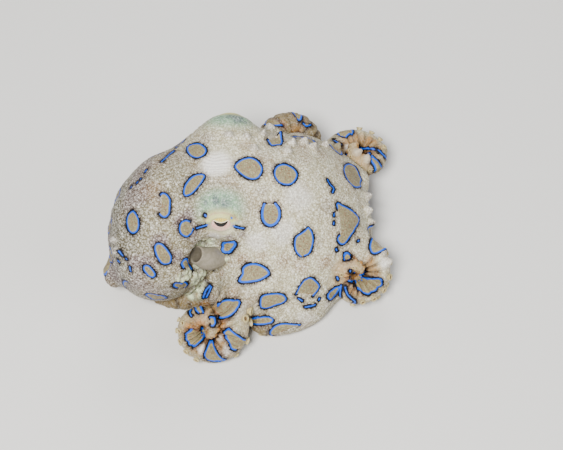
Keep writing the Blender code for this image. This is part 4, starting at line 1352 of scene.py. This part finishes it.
def color_of(value):
    if isinstance(value, bpy.types.NodeSocket):
        return value
    return (*[float(part) for part in value], 1.0)


BLUE = linear(0, 92, 214)
DEEP_BLUE = linear(0, 56, 178)
BLACK = linear(12, 10, 14)
RING_YELLOW = linear(164, 150, 84)
RUST = linear(120, 78, 56)


def skin_material():
    graph = Graph("skin")
    tone = graph.attribute("tone").outputs["Color"]
    line = graph.attribute("line").outputs["Fac"]
    inner = graph.attribute("inner").outputs["Fac"]
    fine = graph.noise(0.3, 4.0)
    broad = graph.noise(1.3, 3.0)
    coarse = graph.ramp(graph.cells(0.42), 0.6, 0.2)
    small = graph.ramp(graph.cells(0.25), 0.6, 0.2)
    grain = graph.math("ADD", graph.math("MULTIPLY", coarse, 0.5), graph.math("MULTIPLY", small, 0.5))

    # Plain skin: dark between the grains, pale on top of them, with rusty and white specks
    color = graph.mix(grain, graph.mix(1.0, tone, (0.44, 0.41, 0.38), "MULTIPLY"),
                      graph.mix(0.5, tone, WHITE))
    color = graph.mix(graph.ramp(fine, 0.54, 0.68, 0.0, 0.62), color,
                      graph.mix(1.0, color, (0.46, 0.36, 0.31), "MULTIPLY"))
    color = graph.mix(graph.ramp(broad, 0.46, 0.72, 0.0, 0.4), color,
                      graph.mix(1.0, color, (0.76, 0.72, 0.70), "MULTIPLY"))
    fleck = graph.ramp(graph.cells(0.8), 0.3, 0.14, 0.0, 0.6)
    color = graph.mix(graph.math("MULTIPLY", fleck, graph.ramp(broad, 0.55, 0.42)), color, WHITE)
    plain = graph.attribute("plain").outputs["Fac"]
    color = graph.mix(plain, color, tone)

    # Inside the rings: tan with rusty specks
    inside = graph.ramp(inner, -0.05, -0.25, 0.0, 0.9)
    speck = graph.mix(graph.ramp(fine, 0.50, 0.62, 0.0, 0.7), TAN, RUST)
    speck = graph.mix(graph.ramp(grain, 0.3, 0.8, 0.0, 0.35), speck, linear(184, 176, 126))
    color = graph.mix(inside, color, speck)

    # Lines: a dark halo, a jagged black edge, a yellow inner edge, and the blue itself
    ragged = graph.ramp(graph.noise(0.3, 2.0), 0.36, 0.64)
    uneven = graph.ramp(graph.noise(1.6, 1.0), 0.36, 0.62)
    outside = graph.ramp(inner, -0.06, 0.04)
    halo_end = graph.math("ADD", graph.math("MULTIPLY", graph.math("ADD", ragged, uneven), 0.3), 0.3)
    halo = graph.ramp(graph.math("SUBTRACT", line, halo_end), 0.35, -0.25, 0.0, 0.75)
    bare = graph.ramp(plain, 0.76, 0.83, 1.0, 0.2)
    halo = graph.math("MULTIPLY", halo, bare)
    color = graph.mix(graph.math("MULTIPLY", halo, outside), color,
                      graph.mix(1.0, color, (0.30, 0.26, 0.28), "MULTIPLY"))
    black_end = graph.math("MULTIPLY", graph.math("ADD", ragged, uneven), graph.math("MULTIPLY", outside, 0.15))
    black_end = graph.math("ADD", black_end, LINE_HALF_WIDTH + 0.07)
    black = graph.ramp(graph.math("SUBTRACT", line, black_end), 0.06, -0.03)
    black = graph.math("MULTIPLY", black, bare)
    yellow = graph.ramp(line, LINE_HALF_WIDTH + 0.24, LINE_HALF_WIDTH + 0.08, 0.0, 0.7)
    color = graph.mix(graph.math("MULTIPLY", yellow, graph.ramp(inner, 0.0, -0.1)), color, RING_YELLOW)
    color = graph.mix(graph.math("MULTIPLY", black, graph.ramp(inner, -0.1, 0.02, 0.25, 1.0)), color, BLACK)
    shade = graph.mix(graph.ramp(line, 0.04, LINE_HALF_WIDTH), BLUE, DEEP_BLUE)
    color = graph.mix(graph.ramp(line, LINE_HALF_WIDTH + 0.02, LINE_HALF_WIDTH - 0.05), color, shade)

    height = graph.math("ADD", grain, graph.math("MULTIPLY", fine, 0.6))
    graph.bump(height, 0.07, 0.7)
    rough = graph.ramp(fine, 0.3, 0.7, 0.45, 0.62)
    graph.set(Base_Color=color, Roughness=rough, Subsurface_Weight=0.06, Subsurface_Scale=0.0005,
              Specular_IOR_Level=0.22)
    graph.shader.inputs["Subsurface Radius"].default_value = (1.0, 0.6, 0.45)
    return graph.material


def sucker_material():
    graph = Graph("suckers")
    fine = graph.noise(0.3, 3.0)
    cup = graph.attribute("cup").outputs["Fac"]
    color = graph.mix(graph.ramp(fine, 0.3, 0.7), linear(198, 184, 140), linear(160, 144, 98))
    # Painted shade in the hollow of each cup
    color = graph.mix(graph.ramp(cup, 0.75, 0.2), color, linear(110, 88, 58))
    graph.bump(fine, 0.03, 0.4)
    graph.set(Base_Color=color, Roughness=0.42, Specular_IOR_Level=0.3)
    return graph.material


def funnel_material():
    graph = Graph("funnel")
    fine = graph.noise(0.5, 3.0)
    bore_shade = graph.attribute("bore_shade").outputs["Fac"]
    color = graph.mix(graph.ramp(fine, 0.3, 0.7), linear(143, 135, 121), linear(128, 121, 104))
    # Painted shade inside the bore and round the inner side of the lip
    color = graph.mix(bore_shade, color, linear(62, 56, 44))
    graph.bump(fine, 0.02, 0.3)
    graph.set(Base_Color=color, Roughness=0.45, Specular_IOR_Level=0.25)
    return graph.material


def eye_material():
    graph = Graph("eye")
    iris = graph.attribute("iris").outputs["Fac"]
    pupil = graph.attribute("pupil").outputs["Fac"]
    rim = graph.attribute("rim").outputs["Fac"]
    streak = graph.noise(0.22, 3.0)
    gold = graph.mix(graph.ramp(streak, 0.35, 0.65), linear(228, 206, 112), linear(196, 168, 74))
    white = graph.mix(graph.ramp(streak, 0.35, 0.65), linear(236, 210, 196), linear(222, 160, 150))
    color = graph.mix(iris, white, gold)
    color = graph.mix(rim, color, linear(248, 240, 222))
    color = graph.mix(pupil, color, (0.0, 0.0, 0.0))
    graph.set(Base_Color=color, Roughness=0.12, Specular_IOR_Level=0.3, Coat_Weight=0.12,
              Coat_Roughness=0.03)
    return graph.material


EYE_DETAIL = 6
PUPIL_SAG = 0.55
PUPIL_HALF_WIDTH = 1.2
PUPIL_LOW = -0.13
PUPIL_THICKNESS = 0.4


def make_eye(name, center, gaze, material):
    """An eyeball with a yellow iris over the thin smile of its pupil."""
    work = bmesh.new()
    bmesh.ops.create_icosphere(work, subdivisions=EYE_DETAIL, radius=EYE_RADIUS)
    local = np.array([vertex.co for vertex in work.verts])
    faces = np.array([[vertex.index for vertex in face.verts] for face in work.faces])
    work.free()
    gaze = unit(gaze)
    across, up = side_frame(gaze, np.array((0.0, 0.0, 1.0)))
    item = new_object(name, place(center + local), faces)
    x, y = local @ across, local @ up
    front = local @ gaze > 0
    share = np.clip(np.abs(x) / PUPIL_HALF_WIDTH, 0.0, 1.4)
    curve = PUPIL_LOW + PUPIL_SAG * share**2
    thick = PUPIL_THICKNESS * np.sqrt(np.clip(1.0 - share**2, 0.0, 1.0)) + 0.01
    gap = np.abs(y - curve)
    add_numbers(item.data, "pupil", smoothstep(0.05, -0.02, gap - thick) * front * (share < 1.05))
    edge = np.abs(y - curve - thick - 0.07)
    add_numbers(item.data, "rim", smoothstep(0.12, 0.04, edge) * front * (share < 1.1) * 0.9)
    add_numbers(item.data, "iris", smoothstep(0.0, 0.08, y - curve) * front)
    item.data.materials.append(material)
    return item


FUNNEL_SIDES = 48
FUNNEL_STEP = 0.25
FUNNEL_LIP = 0.18
FUNNEL_BULGE = 0.28


def make_funnel(material):
    """A smooth tube that narrows to a rounded lip, with its bore going back inside, darkened there with painted
    shade.
    """
    route = smooth_route(FUNNEL_PATH, FUNNEL_STEP)
    count = len(route)
    share = np.linspace(0.0, 1.0, count)
    radii = FUNNEL_ROOT_RADIUS + (FUNNEL_END_RADIUS - FUNNEL_ROOT_RADIUS) * share**0.5
    radii += FUNNEL_BULGE * (smoothstep(0.55, 0.8, share) - smoothstep(0.82, 1.0, share))
    tangents = unit_rows(np.gradient(route, axis=0))
    # Each ring: middle, radius, direction, and its share of painted shade, which rises round the lip and down
    # the bore
    rings = [(route[index], radii[index], tangents[index], 0.0) for index in range(count)]
    end, aim = route[-1], tangents[-1]
    for angle in np.linspace(20, 180, 8):
        turn = math.radians(angle)
        rings.append((end + aim * FUNNEL_LIP * math.sin(turn),
                      FUNNEL_END_RADIUS - FUNNEL_LIP * (1.0 - math.cos(turn)), aim, angle / 600.0))
    bore_end = FUNNEL_END_RADIUS - 2.0 * FUNNEL_LIP
    for depth in np.linspace(0.2, FUNNEL_BORE_DEPTH, 10):
        share = depth / FUNNEL_BORE_DEPTH
        rings.append((end - aim * depth, bore_end * (1.0 - 0.35 * share), aim, 0.3 + 0.7 * share))
    vertices, bore_shade = [], []
    for index, (middle, radius, tangent, shade_share) in enumerate(rings):
        across, up = side_frame(tangent, np.array((0.0, 0.0, 1.0)))
        angle = np.linspace(0, 2 * math.pi, FUNNEL_SIDES, endpoint=False)
        ripple = 1.0 + 0.02 * np.sin(3 * angle + 0.2 * index)
        spread = np.cos(angle)[:, None] * up + np.sin(angle)[:, None] * across
        vertices.append(middle + radius * ripple[:, None] * spread)
        bore_shade += [shade_share] * FUNNEL_SIDES
    faces = []
    for ring in range(len(rings) - 1):
        for side in range(FUNNEL_SIDES):
            after = (side + 1) % FUNNEL_SIDES
            low = ring * FUNNEL_SIDES
            faces.append((low + side, low + after, low + FUNNEL_SIDES + after, low + FUNNEL_SIDES + side))
    item = new_object("funnel_tube", place(np.concatenate(vertices)), faces)
    add_numbers(item.data, "bore_shade", bore_shade)
    item.data.materials.append(material)
    return item


# Suckers: two rows along each arm, and the first ones round the mouth
SUCKER_SHARE = 0.27
SUCKER_LEAST = 0.16
SUCKER_PITCH = 1.4
SUCKER_CLEAR = 0.55
SUCKER_SPREAD = 30
SUCKER_SEAT = 0.98
SUCKER_SIDES = 18
# Each ring of a sucker: width and height as shares of its size, and how far it lies out of the cup's hollow,
# which the material darkens with painted shade
SUCKER_PROFILE = ((0.78, -0.9, 1.0), (0.66, -0.1, 1.0), (0.68, 0.25, 1.0), (0.88, 0.50, 1.0),
                  (1.00, 0.74, 1.0), (0.97, 0.94, 1.0), (0.82, 1.02, 1.0), (0.64, 0.92, 0.7),
                  (0.48, 0.74, 0.4), (0.30, 0.66, 0.1), (0.10, 0.70, 0.0))
CROWN_ARMS = 8
CROWN_FIRST = 4.0
CROWN_STEP = 1.5
CROWN_COUNT = 5
CROWN_SUCKER = 0.72


def add_sucker(vertices, faces, cups, spot, outward, along, radius):
    across = np.cross(outward, along)
    angle = np.linspace(0, 2 * math.pi, SUCKER_SIDES, endpoint=False)
    spread = np.cos(angle)[:, None] * along + np.sin(angle)[:, None] * across
    first = sum(len(ring) for ring in vertices)
    for width, height, cup in SUCKER_PROFILE:
        vertices.append(spot + radius * (width * spread + height * outward))
        cups += [cup] * SUCKER_SIDES
    for level in range(len(SUCKER_PROFILE) - 1):
        for side in range(SUCKER_SIDES):
            after = (side + 1) % SUCKER_SIDES
            low = first + level * SUCKER_SIDES
            faces.append((low + side, low + after, low + SUCKER_SIDES + after, low + SUCKER_SIDES + side))


def marked_places(skin):
    """A search tree of the skin's places on and beside the blue lines."""
    count = len(skin.data.vertices)
    spots = np.empty(count * 3)
    skin.data.vertices.foreach_get("co", spots)
    line = np.empty(count)
    skin.data.attributes["line"].data.foreach_get("value", line)
    close = spots.reshape(-1, 3)[line < SUCKER_CLEAR] / MM
    tree = KDTree(len(close))
    for index, spot in enumerate(close):
        tree.insert(spot, index)
    tree.balance()
    return tree


def make_suckers(material, skin):
    vertices, faces, cups = [], [], []
    marked = marked_places(skin)
    for arm in ARMS:
        here = arm.free - 2.0
        side = 1
        while here < arm.places[-1] - 0.2:
            middle, radius, oral, ahead = arm.at(np.array([here]))
            middle, radius, oral, ahead = middle[0], float(radius[0]), oral[0], ahead[0]
            size = max(SUCKER_SHARE * radius, SUCKER_LEAST)
            turn = math.radians(SUCKER_SPREAD) * side
            outward = math.cos(turn) * oral + math.sin(turn) * np.cross(ahead, oral)
            spot = middle + outward * radius * SUCKER_SEAT
            clear = bare_body(spot[None] + outward * size * 0.5, SHOULDERS)[0] > 0.0
            unmarked = marked.find(place(spot) / MM)[2] > size
            if clear and unmarked and spot[2] + outward[2] * size > size * 0.8:
                add_sucker(vertices, faces, cups, spot, outward, ahead, size)
            here += size * 2 * SUCKER_PITCH / 2
            side = -side
    center, radii, _ = HOLLOW
    for arm in range(CROWN_ARMS):
        heading = 2 * math.pi * (arm + 0.5) / CROWN_ARMS
        outward = np.array((math.cos(heading), math.sin(heading), 0.0))
        for index in range(CROWN_COUNT):
            side = 0.55 if index % 2 else -0.55
            flat = np.array(center) + outward * (CROWN_FIRST + CROWN_STEP * index)
            flat = flat + side * np.cross(outward, (0.0, 0.0, 1.0))
            share = np.sum(((flat - np.array(center)) / np.array(radii))[:2]**2)
            spot = np.array((flat[0], flat[1], radii[2] * math.sqrt(max(1.0 - share, 0.0))))
            size = CROWN_SUCKER * (0.8 + 0.08 * index)
            if spot[2] > size:
                add_sucker(vertices, faces, cups, spot, np.array((0.0, 0.0, -1.0)), outward, size)
    points = np.concatenate(vertices)
    points[:, 2] = np.maximum(points[:, 2], 0.0)
    item = new_object("suckers", place(points), faces)
    add_numbers(item.data, "cup", cups)
    item.data.materials.append(material)
    return item


LIP_RADIUS = 2.0
LIP_THICKNESS = 0.62
LIP_SEGMENTS = 72
LIP_SIDES = 16


def make_lips(material):
    """The frilled ring of lip round the mouth, in the roof under the web."""
    center, radii, _ = HOLLOW
    mouth = np.array((center[0], center[1], radii[2]))
    vertices, faces = [], []
    for index in range(LIP_SEGMENTS):
        heading = 2 * math.pi * index / LIP_SEGMENTS
        outward = np.array((math.cos(heading), math.sin(heading), 0.0))
        frill = 1.0 + 0.12 * math.sin(12 * heading)
        angle = np.linspace(0, 2 * math.pi, LIP_SIDES, endpoint=False)
        spread = np.cos(angle)[:, None] * outward + np.sin(angle)[:, None] * np.array((0.0, 0.0, 1.0))
        vertices.append(mouth + LIP_RADIUS * outward + LIP_THICKNESS * frill * spread)
        for side in range(LIP_SIDES):
            low, high = index * LIP_SIDES, (index + 1) % LIP_SEGMENTS * LIP_SIDES
            after = (side + 1) % LIP_SIDES
            faces.append((low + side, low + after, high + after, high + side))
    item = new_object("lips", place(np.concatenate(vertices)), faces)
    add_numbers(item.data, "cup", np.ones(LIP_SEGMENTS * LIP_SIDES))
    item.data.materials.append(material)
    return item


FLOOR_SIZE = 0.9
FLOOR_COLOR = (0.72, 0.71, 0.69)


def make_floor():
    size = FLOOR_SIZE / 2
    floor = new_object("floor", ((-size, -size, 0), (size, -size, 0), (size, size, 0), (-size, size, 0)),
                       ((0, 1, 2, 3),), smooth=False)
    graph = Graph("floor")
    graph.set(Base_Color=(*FLOOR_COLOR, 1.0), Roughness=0.8)
    floor.data.materials.append(graph.material)


# Studio lights: place and target in metres, size, power and colour
LIGHTS = {
    "key": ((-0.07, -0.22, 0.35), 0.11, 3.5, (1.0, 0.99, 0.96)),
    "fill": ((0.26, -0.12, 0.26), 0.24, 0.5, (0.96, 0.98, 1.0)),
    "back": ((0.02, 0.26, 0.22), 0.20, 0.6, (1.0, 1.0, 1.0)),
}
WORLD_COLOR = (0.84, 0.86, 0.88)
WORLD_STRENGTH = 0.14


def make_lights():
    for name, (spot, size, power, color) in LIGHTS.items():
        data = bpy.data.lights.new(name, "AREA")
        data.size = size
        data.energy = power
        data.color = color
        light = bpy.data.objects.new(name, data)
        light.location = spot
        aim = Vector((0.0, 0.0, 0.01)) - Vector(spot)
        light.rotation_euler = aim.to_track_quat("-Z", "Y").to_euler()
        bpy.context.scene.collection.objects.link(light)
    world = bpy.data.worlds.new("studio")
    world.use_nodes = True
    sky = world.node_tree.nodes["Background"]
    sky.inputs["Color"].default_value = (*WORLD_COLOR, 1.0)
    sky.inputs["Strength"].default_value = WORLD_STRENGTH
    bpy.context.scene.world = world


def make_camera():
    data = bpy.data.cameras.new("camera")
    data.lens = LENS
    data.sensor_width = SENSOR
    data.clip_start = 0.01
    data.clip_end = 5.0
    camera = bpy.data.objects.new("camera", data)
    turn = Matrix((CAMERA_RIGHT, CAMERA_UP, CAMERA_BACK)).transposed()
    camera.matrix_world = Matrix.Translation(Vector(place(CAMERA_PLACE))) @ turn.to_4x4()
    bpy.context.scene.collection.objects.link(camera)
    bpy.context.scene.camera = camera


def main():
    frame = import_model()
    make_camera()
    make_floor()
    make_lights()

    skin = make_skin()
    skin.data.materials.append(skin_material())
    flesh = [name for name in frame["nodes"] if name.startswith(("arm_", "mantle", "head", "web"))]
    eye = eye_material()
    eye_right = make_eye("eyeball_right", EYE_RIGHT, GAZE_RIGHT, eye)
    eye_left = make_eye("eyeball_left", EYE_LEFT, GAZE_LEFT, eye)
    funnel = make_funnel(funnel_material())
    cup = sucker_material()
    suckers = make_suckers(cup, skin)
    lips = make_lips(cup)
    for piece, slot, nodes in ((skin, "head_skin", flesh), (eye_right, "eye", ["eye_right"]),
                               (eye_left, "eye", ["eye_left"]), (funnel, "funnel_skin", ["funnel"]),
                               (suckers, "arm_skin", []), (lips, "arm_skin", [])):
        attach(piece, "root")
        if nodes:
            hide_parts(*nodes)


main()
